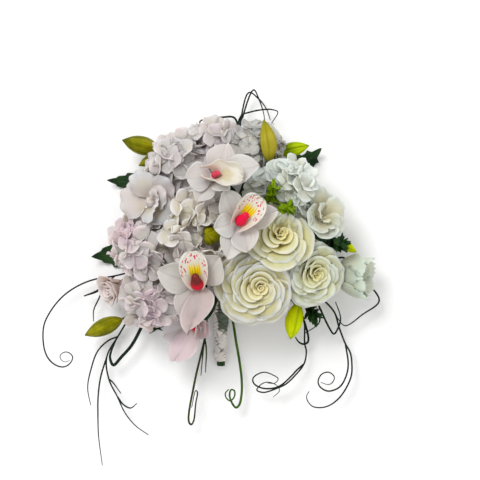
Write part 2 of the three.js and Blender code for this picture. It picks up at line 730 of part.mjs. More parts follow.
// A hydrangea head, as directions from its centre with a distance along each: florets of four
// petals that meet their neighbours halfway, with the gaps between them sunk, and a narrow back.
function hydrangeaPoints(radius, seed) {
  const random = seeded(seed);
  const lowest = Math.cos(radians(LOWEST_FLORET));
  const centres = Array.from({ length: FLORETS }, (_, n) => {
    const up = 1 - ((1 - lowest) * (n + 0.5)) / FLORETS;
    const flat = Math.sqrt(1 - up * up);
    const around = n * Math.PI * (3 - Math.sqrt(5));
    return new THREE.Vector3(flat * Math.cos(around), flat * Math.sin(around), up);
  });
  const ring = ({ count, polar, distance, fixed }) =>
    Array.from({ length: count }, (_, k) => {
      const toward = new THREE.Vector3(0, 0, 1).applyAxisAngle(new THREE.Vector3(0, 1, 0), radians(polar));
      toward.applyAxisAngle(new THREE.Vector3(0, 0, 1), (2 * Math.PI * k) / count);
      return { toward, distance: distance * radius, fixed };
    });
  const skirt = ring(SKIRT);
  const points = [...skirt, ...ring(BACK)];

  const hull = new ConvexHull().setFromPoints([...centres, ...skirt.map((p) => p.toward)]);
  hull.faces.forEach((face) => {
    if (face.normal.z < lowest) return;
    points.push({ toward: face.normal.clone().normalize(), distance: RELIEF.corner * radius });
    [face.edge, face.edge.next, face.edge.prev].forEach((edge) => {
      const [a, b] = [edge.tail().point, edge.head().point];
      const toward = a.clone().add(b).normalize();
      if (a.x < b.x) points.push({ toward, distance: RELIEF.valley * radius });
    });
  });
  centres.forEach((centre) => {
    const x = new THREE.Vector3(0.3, 1, 0.2).cross(centre).normalize();
    const y = centre.clone().cross(x);
    const twist = random() * 90;
    const level = radius * (0.97 + 0.05 * random());
    points.push({ toward: centre, distance: RELIEF.eye * level });
    for (let k = 0; k < 12; k++) {
      const tip = k % 3 > 0;
      const turn = radians(90 * Math.floor(k / 3) + [-45, -23, 23][k % 3] + twist);
      const sideways = x.clone().multiplyScalar(Math.cos(turn)).addScaledVector(y, Math.sin(turn));
      let reach = ((tip ? 1 : 0.55) * FLORET_RADIUS) / radius;
      const toward = new THREE.Vector3();
      do {
        toward.copy(centre).multiplyScalar(Math.cos(reach)).addScaledVector(sideways, Math.sin(reach));
        reach *= 0.95;
      } while (centres.some((other) => other !== centre && toward.dot(other) > toward.dot(centre) - 0.025));
      points.push({ toward, distance: tip ? level : RELIEF.notch * level });
    }
  });
  return points;
}

// The head's surface joins neighbouring directions. Florets that would cross a neighbour are sunk.
function hydrangea({ name, centre, axis, radius }, seed) {
  const frame = frameOf(centre, axis);
  const points = hydrangeaPoints(radius, seed);
  const index = new Map(points.map((point, k) => [point.toward, k]));
  const faces = new ConvexHull().setFromPoints(points.map((point) => point.toward)).faces.flatMap((face) => {
    const corners = [face.edge.tail(), face.edge.head(), face.edge.next.head()];
    return corners.map((corner) => index.get(corner.point));
  });
  const at = (point, extra) => point.toward.clone().multiplyScalar(point.distance + extra);
  const shape = (extra) => geometryFrom(points.map((point) => at(point, point.fixed ? 0 : extra)), faces);
  for (let attempt = 0; attempt < 40; attempt++) {
    const proud = solid(shape(2 * GAP).applyMatrix4(frame));
    const crossed = placed.filter((other) => meets(proud, other));
    if (crossed.length === 0) break;
    const back = frame.clone().invert();
    const hits = crossed.flatMap((other) => {
      const corners = proud.intersect(other).getMesh().vertProperties;
      return Array.from({ length: corners.length / 3 }, (_, k) =>
        new THREE.Vector3(...corners.slice(3 * k, 3 * k + 3)).applyMatrix4(back).normalize(),
      );
    });
    points.forEach((point) => {
      if (!point.fixed && hits.some((hit) => hit.dot(point.toward) > 0.97)) point.distance *= 0.95;
    });
  }
  add(name, solid(shape(0).applyMatrix4(frame)), COLOURS.hydrangea, 0.65);
}

// A serrated leaf on its stalk. The blade lies on its rib and turns up at the tip and the edges; each
// tooth is a pair of rows.
function leaf({ name, stalk: route, tip, width }) {
  const from = V(route[route.length - 1]);
  const to = V(tip);
  const side = to.clone().sub(from).cross(new THREE.Vector3(0, 0, 1)).normalize().negate();
  const lying = name === "leaf_under";
  const surface = (row, w) => {
    const nearest = Math.round(row * 2 * TEETH);
    const toothed = (Math.floor(nearest / 2) + (nearest % 2 ? 0.9 : 0)) / TEETH;
    const s = Math.min(0.995, Math.max(0, toothed + (row * 2 * TEETH - nearest) * 0.1));
    const tooth = nearest % 2 ? 1 : 0.8;
    const outline = (0.07 + Math.sin(Math.PI * s ** 0.7)) * tooth;
    const rootward = Math.max(0, 1 - s / FLAT.from);
    const tipward = Math.max(0, (s - FLAT.to) / (1 - FLAT.to)) ** 1.6;
    const point = from.clone().lerp(to, s).addScaledVector(side, width * outline * w);
    point.z = LEAF / 2 + (from.z - LEAF / 2) * rootward + (to.z - LEAF / 2) * tipward;
    if (!lying) point.z += 3.5 * Math.abs(w) * outline * (1 - tipward);
    return point;
  };
  const inside = from.clone().lerp(to, 0.05).setZ(from.z);
  const stem = stalk(new THREE.CatmullRomCurve3([...route.map(V), inside]), 1.5, 3, 4);
  const whole = fuse([solid(blade(surface, 2 * TEETH, 2, LEAF)), stem]);
  add(name, fuse([whole.subtract(knot(GAP)).trimByPlane([0, 0, 1], 0)]), COLOURS.leaf, 0.55);
}

// A filler sprig: a stalk with small leaflets in turns round it. A leaflet that would cross a
// neighbour is left off.
function sprig({ name, stalk: route }, seed) {
  const random = seeded(seed + 3);
  const curve = new THREE.QuadraticBezierCurve3(...route.map(V));
  const parts = [stalk(curve, 1.2, 3, 3)];
  const frames = curve.computeFrenetFrames(LEAFLETS, false);
  for (let k = 0; k < LEAFLETS; k++) {
    const s = 0.5 + (0.5 * (k + 0.7)) / LEAFLETS;
    const around = k * 2.4 + random();
    const out = frames.normals[k].clone().multiplyScalar(Math.cos(around));
    out.addScaledVector(frames.binormals[k], Math.sin(around));
    const facing = curve.getTangentAt(s).multiplyScalar(0.7).add(out).toArray();
    const frame = frameOf(curve.getPointAt(s).toArray(), facing, random() * 180);
    const leaflet = (extra) => {
      const [width, thickness, length] = LEAFLET.map((half) => half + extra);
      const shape = new THREE.OctahedronGeometry(1).scale(width, thickness, length);
      return solid(shape.translate(0, 0, 0.87 * LEAFLET[2]).applyMatrix4(frame));
    };
    if (!placed.some((other) => meets(leaflet(2 * GAP), other))) parts.push(leaflet(0));
  }
  add(name, fuse(parts), COLOURS.sprig, 0.5);
}

// A bunch of grass strands.
function grass({ name, colour, strands }) {
  const parts = strands.map(({ radius, route }) => {
    return stalk(byPoints(smooth(route)), radius, 3, Math.round(STRAND_STEPS * (route.length - 1)));
  });
  add(name, fuse([fuse(parts).subtract(knot(GAP))]), colour, 0.5);
}

add("stem_bundle", stemBundle(), COLOURS.stem, 0.6);
add("ribbon_wrap", ribbonWrap(), COLOURS.ribbon, 0.4);
ORCHIDS.forEach(orchid);
BUDS.forEach(bud);
SPRIGS.forEach(sprig);
ROSES.slice(0, 3).forEach((rose) => ringedBloom(rose, ROSE_RINGS, HUBS.rose, COLOURS.rose));
ringedBloom(ROSES[3], ROSE_RINGS, HUBS.rose_side, COLOURS.white);
ringedBloom(GARDENIA, GARDENIA_RINGS, HUBS.gardenia, COLOURS.white);
ringedBloom(RUFFLE, RUFFLE_RINGS, HUBS.ruffled_bloom, COLOURS.white);
ringedBloom(ROSEBUD, ROSEBUD_RINGS, HUBS.pink_rosebud, COLOURS.blush);
HYDRANGEAS.forEach((head, k) => hydrangea(head, 11 + k));
LEAVES.forEach(leaf);
GRASS.forEach(grass);

export default group;
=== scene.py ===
# The looks of a one-sided artificial flower bouquet that lies on its back: orchids, roses,
# hydrangeas, buds, leaves and curled grass on wired stems, with a ribbon-wrapped handle.
# Lengths are in millimetres until a piece is made. +X is right, +Y towards the top of the head and
# +Z up, out through the faces of the flowers.
import json
import math
import random
from collections import namedtuple
from functools import lru_cache
from types import SimpleNamespace

import bpy
import numpy as np
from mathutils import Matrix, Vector
from mathutils.bvhtree import BVHTree


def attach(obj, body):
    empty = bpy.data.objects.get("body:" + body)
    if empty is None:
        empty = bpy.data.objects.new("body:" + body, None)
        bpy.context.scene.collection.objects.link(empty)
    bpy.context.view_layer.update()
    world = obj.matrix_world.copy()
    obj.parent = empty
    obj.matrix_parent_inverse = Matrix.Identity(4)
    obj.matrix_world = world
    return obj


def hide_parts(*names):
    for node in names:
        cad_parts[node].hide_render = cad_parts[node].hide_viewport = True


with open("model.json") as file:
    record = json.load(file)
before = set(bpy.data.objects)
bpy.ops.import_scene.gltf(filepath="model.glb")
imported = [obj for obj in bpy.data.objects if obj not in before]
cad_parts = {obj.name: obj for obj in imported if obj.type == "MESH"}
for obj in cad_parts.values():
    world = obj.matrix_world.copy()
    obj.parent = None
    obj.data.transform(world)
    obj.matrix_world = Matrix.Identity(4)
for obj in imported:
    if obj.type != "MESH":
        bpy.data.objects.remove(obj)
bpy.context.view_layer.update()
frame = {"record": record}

MM = 0.001
BODY = "root"
SLOT_OF = {part["node"]: part["material_slot"] for part in frame["record"]["subparts"]}


def named(keys, *table):
    """The rows of a table, with a name for each column."""
    return [SimpleNamespace(**dict(zip(keys.split(), row))) for row in table]


# Driving dimensions, as in the part.
PETAL = 0.5  # thickness of a petal
LEAF = 1.0
BINDING = {"at": (-5, -2, 28), "size": (16, 20, 17)}
HANDLE = {"top": (-10, -18, 27), "tip": (-9, -161, 8), "top_radius": 8, "tip_radius": 5}
RIBBON = {"start": 40, "bare": 7, "turns": 2.4}  # it starts down the handle and leaves the tip bare
LOOSE = ((0, 0.3, 0.55, 0.7, 0.78, 0.9, 1), (4.6, 3.4, 2, 0.7, 0.4, 2.4, 0.6))  # along the ribbon
# The flowers shade the ribbon's folds right of an x, over a border, and from one y to another.
SHADE_X, SHADE_BORDER, SHADE_Y = -13, 4, (-126, -112)
STEM_RADIUS = 2.2
WIRE_RADIUS = 1.5
LOWEST_STEM = 24
GAP = 0.35

# Orchids: the centre and direction of the face, the radius, and the fall of the tepals in degrees.
# Each sepal and petal has a direction, a length in radii, a sideways bow in mm, a breadth and a blush.
# The last columns are the depth from face to back, and the radius of the stem and of a calyx on it.
ORCHID_BACK = 20, STEM_RADIUS, 0
ORCHIDS = named(
    "name face axis radius fall sepals petals depth stem calyx",
    ("orchid_front", (-35, -56, 122), (-0.1, -0.12, 1), 47, -16,
     ((84, 0.85, 0, 1, 0.3), (163, 1.05, -3, 1.1, 0), (242, 0.95, 2, 1.1, 0.4)),
     ((48, 0.9, 3, 1.2, 0.2), (287, 1.02, -26, 1.25, 1)), *ORCHID_BACK),
    ("orchid_centre", (15, 18, 144), (0.1, -0.08, 1), 41, -16,
     ((124, 0.95, -6, 1.05, 0.1), (10, 1.1, 5, 1, 0.4), (246, 1.08, 4, 1, 0.2)),
     ((196, 0.7, 0, 1, 0), (292, 0.84, -4, 1.15, 0.4)), *ORCHID_BACK),
    ("orchid_top", (-15, 73, 138), (-0.12, 0.25, 1), 44, -16,
     ((72, 0.9, 0, 1.15, 0.5), (320, 0.8, -3, 0.9, 0), (232, 0.8, 3, 0.9, 0.1)),
     ((4, 1.22, 5, 1.15, 0), (186, 0.7, 2, 1.15, 0.2)), *ORCHID_BACK),
    ("orchid_low", (-43, -108, 75), (-0.6, -0.3, 0.75), 44, 4,
     ((194, 1.1, 0, 1.2, 0), (322, 0.45, 0, 0.8, 1), (110, 0.8, 0, 0.8, 1)),
     ((244, 1.22, -9, 1.2, 0.8), (20, 0.5, 0, 0.8, 1)), *ORCHID_BACK),
)
# Their lips: the direction in degrees, the half width in radii, how far the sides stand up and lean
# in, the height of the frill, how far the arms reach back and the ruffle, in mm, and the column's size.
LIPS = named(
    "direction width cup curl frill arms ruffle column",
    (95, 0.4, 0.85, 0.16, 1.3, 3, 0, 1),
    (53, 0.47, 0.95, 0.25, 2.0, 8, 0, 1),
    (-14, 0.44, 1.2, 0.42, 3, 9, 3.6, 0.62),
    (66, 0.34, 0.85, 0.2, 1.1, 10, 0, 1),
)
# Blooms of petals in rings: the face, its direction, the radius, the depth from face to back, the turn
# of the petals in degrees, how far the heart drifts off the axis, the look, the seed, how far petals
# wave, how round their corners are, the bead on their rims, the radius of the hub, how ragged and
# pleated the petals are, and the radius of the stem and of the calyx on it.
ROSE = 1.5, 0.14, 0.03, 6, 0, 0, STEM_RADIUS, 7
BLOOMS = named(
    "name face axis radius depth turn drift look seed wave round bead hub ragged pleat stem calyx",
    ("rose_front", (34, -61, 114), (0.08, -0.2, 1), 49, 40, 20, (6, -2), "rose_front", 60, *ROSE),
    ("rose_centre", (63, 0, 122), (0.15, 0.1, 1), 44, 38, 80, (7, 0), "rose_centre", 61, *ROSE),
    ("rose_right", (106, -46, 97), (0.38, -0.2, 1), 43, 37, 50, (3, -2), "rose_right", 62, *ROSE),
    ("rose_side", (120, 25, 92), (0.55, 0.2, 0.8), 35, 34, 0, (0, 0), "white_petal", 70,
     2.2, 0.18, 0.03, 6, 0, 0, STEM_RADIUS, 7),
    ("gardenia", (-100, 44, 106), (-0.45, 0.12, 0.9), 38, 34, 0, (15, 0), "cream_petal", 71,
     3.4, 0.3, 0, 6, 0, 0, STEM_RADIUS, 7),
    ("ruffled_bloom", (171, -50, 56), (0.95, -0.1, 0.35), 33, 42, 0, (0, 0), "pale_petal", 72,
     2.6, 0.3, 0, 5, 0.035, 0.25, STEM_RADIUS, 7),
    ("pink_rosebud", (-148, -66, 52), (-0.75, -0.4, 0.55), 19, 26, 0, (0, 0), "blush_bud", 73,
     0.8, 0.2, 0.1, 3.4, 0, 0, WIRE_RADIUS, 5),
)
# Hydrangeas: how far the florets turn at random and up towards +Z, the lowest of them in degrees from
# the head's axis, and a circle, x, y and radius, that florets leave free for what shows through.
LOOP_ROOM = (-18, 332, 200)
HYDRANGEAS = named(
    "name centre axis radius look spread facing lowest clearing",
    ("hydrangea_centre", (-35, 11, 84), (-0.1, 0, 1), 52, "floret_centre", 1.1, 0, 106, None),
    ("hydrangea_right", (62, 50, 74), (0.4, 0.4, 0.75), 45, "floret_white", 0.4, 0.6, 92, None),
    ("hydrangea_upper_left", (-56, 84, 68), (-0.5, 0.5, 0.7), 41, "floret_blush", 0.45, 0.3, 106,
     (-98, 116, 21)),
    ("hydrangea_top_left", (-18, 103, 64), (-0.1, 0.7, 0.7), 39, "floret_blush", 0.45, 0.3, 106, LOOP_ROOM),
    # The top head's florets are grey: painted shade, as the head lies in shade behind the top orchid.
    ("hydrangea_top", (29, 98, 62), (0.2, 0.7, 0.7), 41, "floret_grey", 0.55, 0.3, 106, LOOP_ROOM),
    ("hydrangea_left", (-93, -8, 72), (-0.6, 0, 0.75), 45, "floret_pink", 0.55, 0.3, 106, None),
    ("hydrangea_lower_left", (-85, -64, 66), (-0.55, -0.5, 0.66), 44, "floret_pink", 0.55, 0.3, 106,
     (-60, -108, 18)),
)
FLORETS_PER_AREA = 0.023  # by the square of a head's radius
FLORET_LAYERS = (0.5, 0.68), (1.0, 0.8)  # the share of that count, and the distance in radii
FLORET_SIZES = 15, 19.5
CORE = 0.6  # the radius of a head's core, in radii of the head
# How far out and how large a floret is made, until it has room: shares of its first place and size.
FLORET_ROOM = [
    (reach, size) for size, reaches in ((1, (1, 0.95, 0.9, 0.85, 0.8)), (0.72, (0.96, 0.88, 0.8)),
                                        (0.5, (0.94, 0.86, 0.78))) for reach in reaches]

# Orchid buds.
BUDS = named(
    "name base tip radius look",
    ("bud_upper_left", (-84, 108, 36), (-130, 120, 44), 12.5, "bud_olive"),
    ("bud_upper_left_low", (-80, 106, 20), (-112, 90, 18), 8, "bud_olive"),
    ("bud_top", (50, 90, 86), (43, 139, 104), 10.5, "bud_ochre"),
    ("bud_top_right", (62, 105, 34), (100, 113, 46), 9.5, "bud_moss"),
    ("bud_centre", (-16, 0, 102), (-24, 4, 136), 11.5, "bud_olive"),
    ("bud_lower_left", (-131, -101, 32), (-177, -121, 36), 11.5, "bud_olive"),
    ("bud_bottom", (86, -79, 56), (77, -125, 46), 11.5, "bud_lime"),
    ("bud_right", (140, -6, 46), (157, -18, 56), 5.5, "bud_lime"),
)

# Leaves: the tip, the half width, the depth of the teeth and how far they hook, and the stalk up to
# the root of the blade.
LEAVES = named(
    "name tip width teeth hook stalk",
    ("leaf_under", (0, 78, 5), 26, 0.24, 1, [(-9, -55.8, 12), (-8, -44, 12.4), (-4, -36, 7), (-2, -31, 3.5)]),
    ("leaf_upper_left", (-152, 72, 20), 19, 0.24, 1, [(-11, 3, 18), (-29, 14, 9), (-66, 66, 6)]),
    ("leaf_left", (-171, -24, 22), 27, 0.24, 1, [(-12, -3, 18), (-30, -6, 9), (-80, -14, 6)]),
    ("leaf_upper_right", (117, 112, 22), 32, 0.5, 2.2, [(-1, 4, 17), (18, 18, 9), (50, 48, 6)]),
    ("leaf_right", (142, -12, 16), 24, 0.24, 1, [(0, -1, 17), (24, 0, 9), (70, 4, 6)]),
    ("leaf_lower_left", (-100, -122, 4), 20, 0.24, 1, [(-8, -8, 17), (-22, -25, 9), (-48, -56, 6)]),
)
TEETH = 8  # along each side of a leaf
FLAT = {"from": 0.17, "to": 0.72}  # the shares of a leaf's length between which its rib lies flat

# Leafy filler: the points along the stalk, and the size of the leaflets.
SPRIGS = named(
    "name stalk look size",
    ("sprig_centre", [(44, 32, 62), (52, 40, 96), (54, 59, 126)], "sprig_bright", 1.1),
    ("sprig_middle", [(56, 24, 58), (72, 32, 92), (71, 35, 130)], "sprig_bright", 1.25),
    ("sprig_right", [(112, -12, 38), (126, -12, 62), (136, -7, 90)], "sprig_dark", 1.35),
    ("sprig_bottom", [(84, -74, 36), (98, -88, 52), (108, -97, 60)], "sprig_dark", 1.2),
)

# Curled grass: the radius of each strand, and the points along it.
GRASS = {
    "grass_top": """
        1.2: 0 10 20, 3 60 16, 10 110 16, 16 142 18, 32 185 20, 39 172 22, 44 157 23, 46 146 22;
        1.1: 10 110 16, 15 142 22, 26 181 24, 38 173 26, 48 160 26, 53 146 25;
        1.1: 10 110 16, 16 151 28, 28 156 30, 44 159 30, 55 159 30, 62 156 29, 54 142 26;
        1.4: 10 110 16, 12 142 15, 7 151 14, -8 151 14, -23 149 14, -35 146 15, -34 136 16""",
    "grass_left": """
        1.1: -12 0 21, -60 -24 15, -105 -38 15, -142 -48 16, -166 -52 17, -183 -58 18, -200 -68 19,
          -212 -79 20, -223 -94 21, -230 -110 22, -230 -134 24, -225 -149 25, -216 -158 26,
          -205 -161 27, -197 -157 28, -193 -149 29, -196 -144 30, -202 -142 31, -208 -146 32,
          -207 -151 33, -202 -154 34, -196 -152 35;
        1.1: -142 -48 16, -154 -60 18, -162 -77 19, -168 -91 20, -168 -105 21;
        1.8: -154 -60 18, -164 -67 20, -180 -73 22""",
    "grass_lower_left": """
        1.2: -13 -4 20, -50 -46 17, -92 -84 16, -120 -98 16, -138 -124 17, -152 -150 18, -149 -177 20,
          -138 -199 22, -129 -218 23, -116 -234 24, -99 -246 25;
        1.1: -138 -124 17, -150 -129 18, -163 -142 20, -171 -164 22, -175 -187 24, -171 -209 26;
        1.1: -152 -150 18, -159 -174 22, -162 -199 24, -162 -219 26, -161 -246 28, -156 -283 30;
        1.1: -149 -177 20, -144 -180 25, -133 -194 28;
        1.1: -138 -199 22, -130 -208 27, -121 -212 28, -113 -206 28;
        2.2: -92 -84 16, -105 -106 20, -120 -134 23, -133 -149 24, -143 -159 24, -147 -150 25,
          -145 -140 25, -140 -128 24;
        1.3: -92 -84 16, -96 -104 16, -89 -113 17, -80 -117 18""",
    "grass_bottom": """
        1.5: -14 -10 19, -27 -55 15, -26 -89 17, -29 -126 20, -34 -147 21, -42 -182 22, -49 -229 24,
          -46 -233 25, -43 -229 26, -40 -206 28, -38 -192 29, -40 -190 30, -45 -211 31;
        1.1: -29 -126 20, -27 -140 24, -28 -168 26;
        1.1: -29 -126 20, -31 -140 17, -34 -173 17""",
    "grass_handle": """
        1.7: 0 -10 17, 8 -55 12, 4 -92 12, 7 -110 13, 10 -130 14, 14 -153 15, 17 -177 17, 17 -196 20,
          14 -209 22, 10 -212 24, 5 -206 26, 2 -196 28, 4 -189 30, 8 -190 32, 8 -197 34, 3 -202 36,
          -2 -198 38, -3 -192 40, 1 -187 42""",
    "grass_lower_right": """
        1.1: 3 -6 18, 50 -50 15, 85 -85 15, 95 -102 16, 96 -133 18, 98 -142 19, 95 -158 20, 83 -173 22,
          72 -183 23, 61 -188 24, 44 -193 25, 36 -190 26, 38 -186 27, 44 -181 28, 52 -180 29,
          61 -184 30, 64 -190 31, 56 -198 32;
        1.1: 95 -158 20, 86 -165 25, 78 -173 29, 64 -184 34, 50 -187 36, 39 -185 37, 32 -180 38,
          31 -174 39, 36 -169 40, 45 -166 41, 55 -169 42, 62 -174 43, 58 -179 44, 49 -179 45;
        1.5: 85 -85 15, 95 -104 20, 100 -130 22, 94 -133 22, 88 -130 22, 84 -124 22;
        1.2: 85 -85 15, 104 -88 22, 114 -98 25, 113 -107 26, 96 -119 27""",
    "grass_right": """
        1.2: 5 -2 19, 60 -34 15, 105 -66 15, 133 -93 16, 139 -112 17, 147 -133 18, 153 -144 19,
          155 -160 20, 154 -173 21, 147 -189 22, 137 -202 23, 125 -210 24, 114 -212 25, 105 -210 26,
          99 -203 27, 98 -197 28, 101 -191 29;
        1.1: 147 -133 18, 150 -158 24, 147 -173 26, 139 -186 27, 125 -191 28, 115 -186 29, 112 -179 30,
          116 -170 31, 125 -167 32, 132 -173 33, 129 -180 34, 124 -182 35, 115 -179 36;
        1.3: 105 -66 15, 128 -32 16, 144 -25 17, 160 -41 18, 174 -56 19, 189 -79 21, 168 -96 22,
          146 -110 22, 135 -98 21;
        1.3: 105 -66 15, 114 -86 20, 126 -112 25, 132 -120 26, 139 -108 26, 140 -98 26, 134 -80 24""",
}

# Points, arrays of faces with as many corners, and each point's place: how far along its petal or
# stem from 0 to 1, and how far across or around from -1 to 1.
Shape = namedtuple("Shape", "points faces along across")
UP = np.array((0.0, 0.0, 1.0))


def unit(v):
    v = np.asarray(v, float)
    return v / np.linalg.norm(v)


def frame_of(origin, axis, turn=0.0):
    """The axes and origin of a bloom: z outwards along its axis, x as near to +X as it can be."""
    z = unit(axis)
    x = unit(np.cross((0, 1, 0), z))
    y = np.cross(z, x)
    a = math.radians(turn)
    return np.array((math.cos(a) * x + math.sin(a) * y, math.cos(a) * y - math.sin(a) * x, z)), origin


def moved(shape, where):
    axes, origin = where
    return shape._replace(points=shape.points @ axes + np.asarray(origin, float))


@lru_cache(maxsize=None)
def sheet_faces(rows, columns):
    """The faces of a closed sheet: front, back and rim."""
    index = np.arange((rows + 1) * (columns + 1)).reshape(rows + 1, columns + 1)
    front = np.stack((index[:-1, :-1], index[1:, :-1], index[1:, 1:], index[:-1, 1:]), -1).reshape(-1, 4)
    rim = np.concatenate((index[:-1, 0], index[-1, :-1], index[:0:-1, -1], index[0, :0:-1]))
    after = np.roll(rim, -1)
    side = np.stack((rim, rim + index.size, after + index.size, after), -1)
    return np.concatenate((front, front[:, ::-1] + index.size, side))


def sheet(surface, rows, columns, thickness, crowd=1.0, bead=0.0):
    """A thin closed sheet from its middle surface(s, w): s runs from root to tip and w across from
    -1 to 1. A crowd above 1 packs the rows towards the tip, and a bead thickens the rim."""
    rise = 1 - (1 - np.linspace(0, 1, rows + 1)) ** crowd
    s, w = np.meshgrid(rise, np.linspace(-1, 1, columns + 1), indexing="ij")
    middle = surface(s, w)
    normal = np.cross(np.gradient(middle, axis=0), np.gradient(middle, axis=1))
    normal /= np.maximum(np.linalg.norm(normal, axis=2, keepdims=True), 1e-9)
    half = thickness / 2 * (1 - 0.45 * np.abs(w) ** 4) + bead * np.exp(-(((1 - s) / 0.05) ** 2))
    normal *= half[..., None]
    points = np.concatenate(((middle + normal).reshape(-1, 3), (middle - normal).reshape(-1, 3)))
    return Shape(points, [sheet_faces(rows, columns)], np.tile(s.ravel(), 2), np.tile(w.ravel(), 2))


def loft(rings):
    """A closed body through rings of points, an array of (ring, side, xyz), with its ends closed."""
    count, sides = rings.shape[:2]
    index = np.arange(count * sides).reshape(count, sides)
    after = np.roll(index, -1, axis=1)
    quads = np.stack((index[:-1], after[:-1], after[1:], index[1:]), -1).reshape(-1, 4)
    first, last = count * sides, count * sides + 1
    low = np.stack((np.full(sides, first), after[0], index[0]), -1)
    high = np.stack((np.full(sides, last), index[-1], after[-1]), -1)
    points = np.concatenate((rings.reshape(-1, 3), rings[0].mean(0)[None], rings[-1].mean(0)[None]))
    along = np.append(np.repeat(np.linspace(0, 1, count), sides), (0, 1))
    across = np.append(np.tile(np.linspace(-1, 1, sides), count), (0, 0))
    return Shape(points, [quads, np.concatenate((low, high))], along, across)


def angles(count):
    return np.linspace(0, 2 * math.pi, count, endpoint=False)


def circle(sides):
    return np.stack((np.cos(angles(sides)), np.sin(angles(sides)), np.zeros(sides)), -1)


def lathe(profile, sides):
    """A turned body from its [radius, height] profile."""
    return loft(np.array([r * circle(sides) + z * UP for r, z in profile]))


def tube(path, radii, sides=8, flat=1.0):
    """A body of round section along a path, narrower by `flat` in one direction."""
    path = np.asarray(path, float)
    tangents = np.gradient(path, axis=0)
    tangents /= np.linalg.norm(tangents, axis=1, keepdims=True)
    radii = np.broadcast_to(radii, len(path))
    side = unit(np.cross(tangents[0], UP if abs(tangents[0][2]) < 0.9 else (1, 0, 0)))
    around = angles(sides)
    rings = []
    for point, tangent, radius in zip(path, tangents, radii):
        side = unit(side - tangent * np.dot(side, tangent))
        other = np.cross(tangent, side)
        ring = np.outer(np.cos(around), side) + flat * np.outer(np.sin(around), other)
        rings.append(point + radius * ring)
    return loft(np.array(rings))


def smooth(points, steps):
    """A centripetal Catmull-Rom curve through the points, `steps` to each span."""
    p = np.array(points, float)
    p = np.vstack((2 * p[0] - p[1], p, 2 * p[-1] - p[-2]))
    curve = []
    for a, b, c, d in zip(p, p[1:], p[2:], p[3:]):
        spans = [max(np.linalg.norm(v) ** 0.5, 1e-6) for v in (b - a, c - b, d - c)]
        leave = ((b - a) / spans[0] - (c - a) / (spans[0] + spans[1]) + (c - b) / spans[1]) * spans[1]
        arrive = ((c - b) / spans[1] - (d - b) / (spans[1] + spans[2]) + (d - c) / spans[2]) * spans[1]
        t = np.linspace(0, 1, steps, endpoint=False)[:, None]
        curve.append(
            b + leave * t + (3 * (c - b) - 2 * leave - arrive) * t**2 + (2 * (b - c) + leave + arrive) * t**3
        )
    return np.vstack(curve + [p[-2]])


def bezier(corners, steps):
    """A Bezier curve of any degree."""
    t = np.linspace(0, 1, steps + 1)[:, None]
    degree = len(corners) - 1
    weights = [math.comb(degree, k) * t**k * (1 - t) ** (degree - k) for k in range(degree + 1)]
    return sum(weight * np.asarray(corner, float) for weight, corner in zip(weights, corners))


class Parts:
    """The parts of one piece. Each point keeps its place on its part, and a number that is the
    part's own, for the materials to read."""

    def __init__(self):
        self.points, self.places, self.faces, self.looks = [], [], [], []
        self.count = 0

    def add(self, shape, own=0.5, look=0):
        self.points.append(shape.points)
        own = np.broadcast_to(own, len(shape.along))
        self.places.append(np.stack((shape.along, shape.across, own), -1))
        for group in shape.faces:
            self.faces += (group + self.count).tolist()
            self.looks += [look] * len(group)
        self.count += len(shape.points)


placed = []  # (lowest corner, highest corner, search tree) of each piece so far


def crosses(shape):
    low, high = shape.points.min(0), shape.points.max(0)
    near = [tree for below, above, tree in placed if (low < above).all() and (below < high).all()]
    if not near:
        return False
    mine = BVHTree.FromPolygons(shape.points.tolist(), shape.faces[0].tolist())
    return any(mine.overlap(tree) for tree in near)


def linked(name, data):
    made = bpy.data.objects.new(name, data)
    bpy.context.scene.collection.objects.link(made)
    return made


def piece(node, parts, *looks):
    """Makes the parts a piece that stands for a node of the part."""
    points = np.concatenate(parts.points)
    mesh = bpy.data.meshes.new(node + "_fine")
    mesh.from_pydata((points * MM).tolist(), [], parts.faces)
    place = mesh.attributes.new("place", "FLOAT_VECTOR", "POINT")
    place.data.foreach_set("vector", np.concatenate(parts.places).ravel())
    mesh.polygons.foreach_set("material_index", parts.looks)
    mesh.polygons.foreach_set("use_smooth", [True] * len(parts.looks))
    mesh.update()
    for look in looks:
        mesh.materials.append(look)
    made = linked(node + "_fine", mesh)
    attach(made, BODY)
    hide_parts(node)
    placed.append((points.min(0), points.max(0), BVHTree.FromPolygons(points.tolist(), parts.faces)))


# Materials.


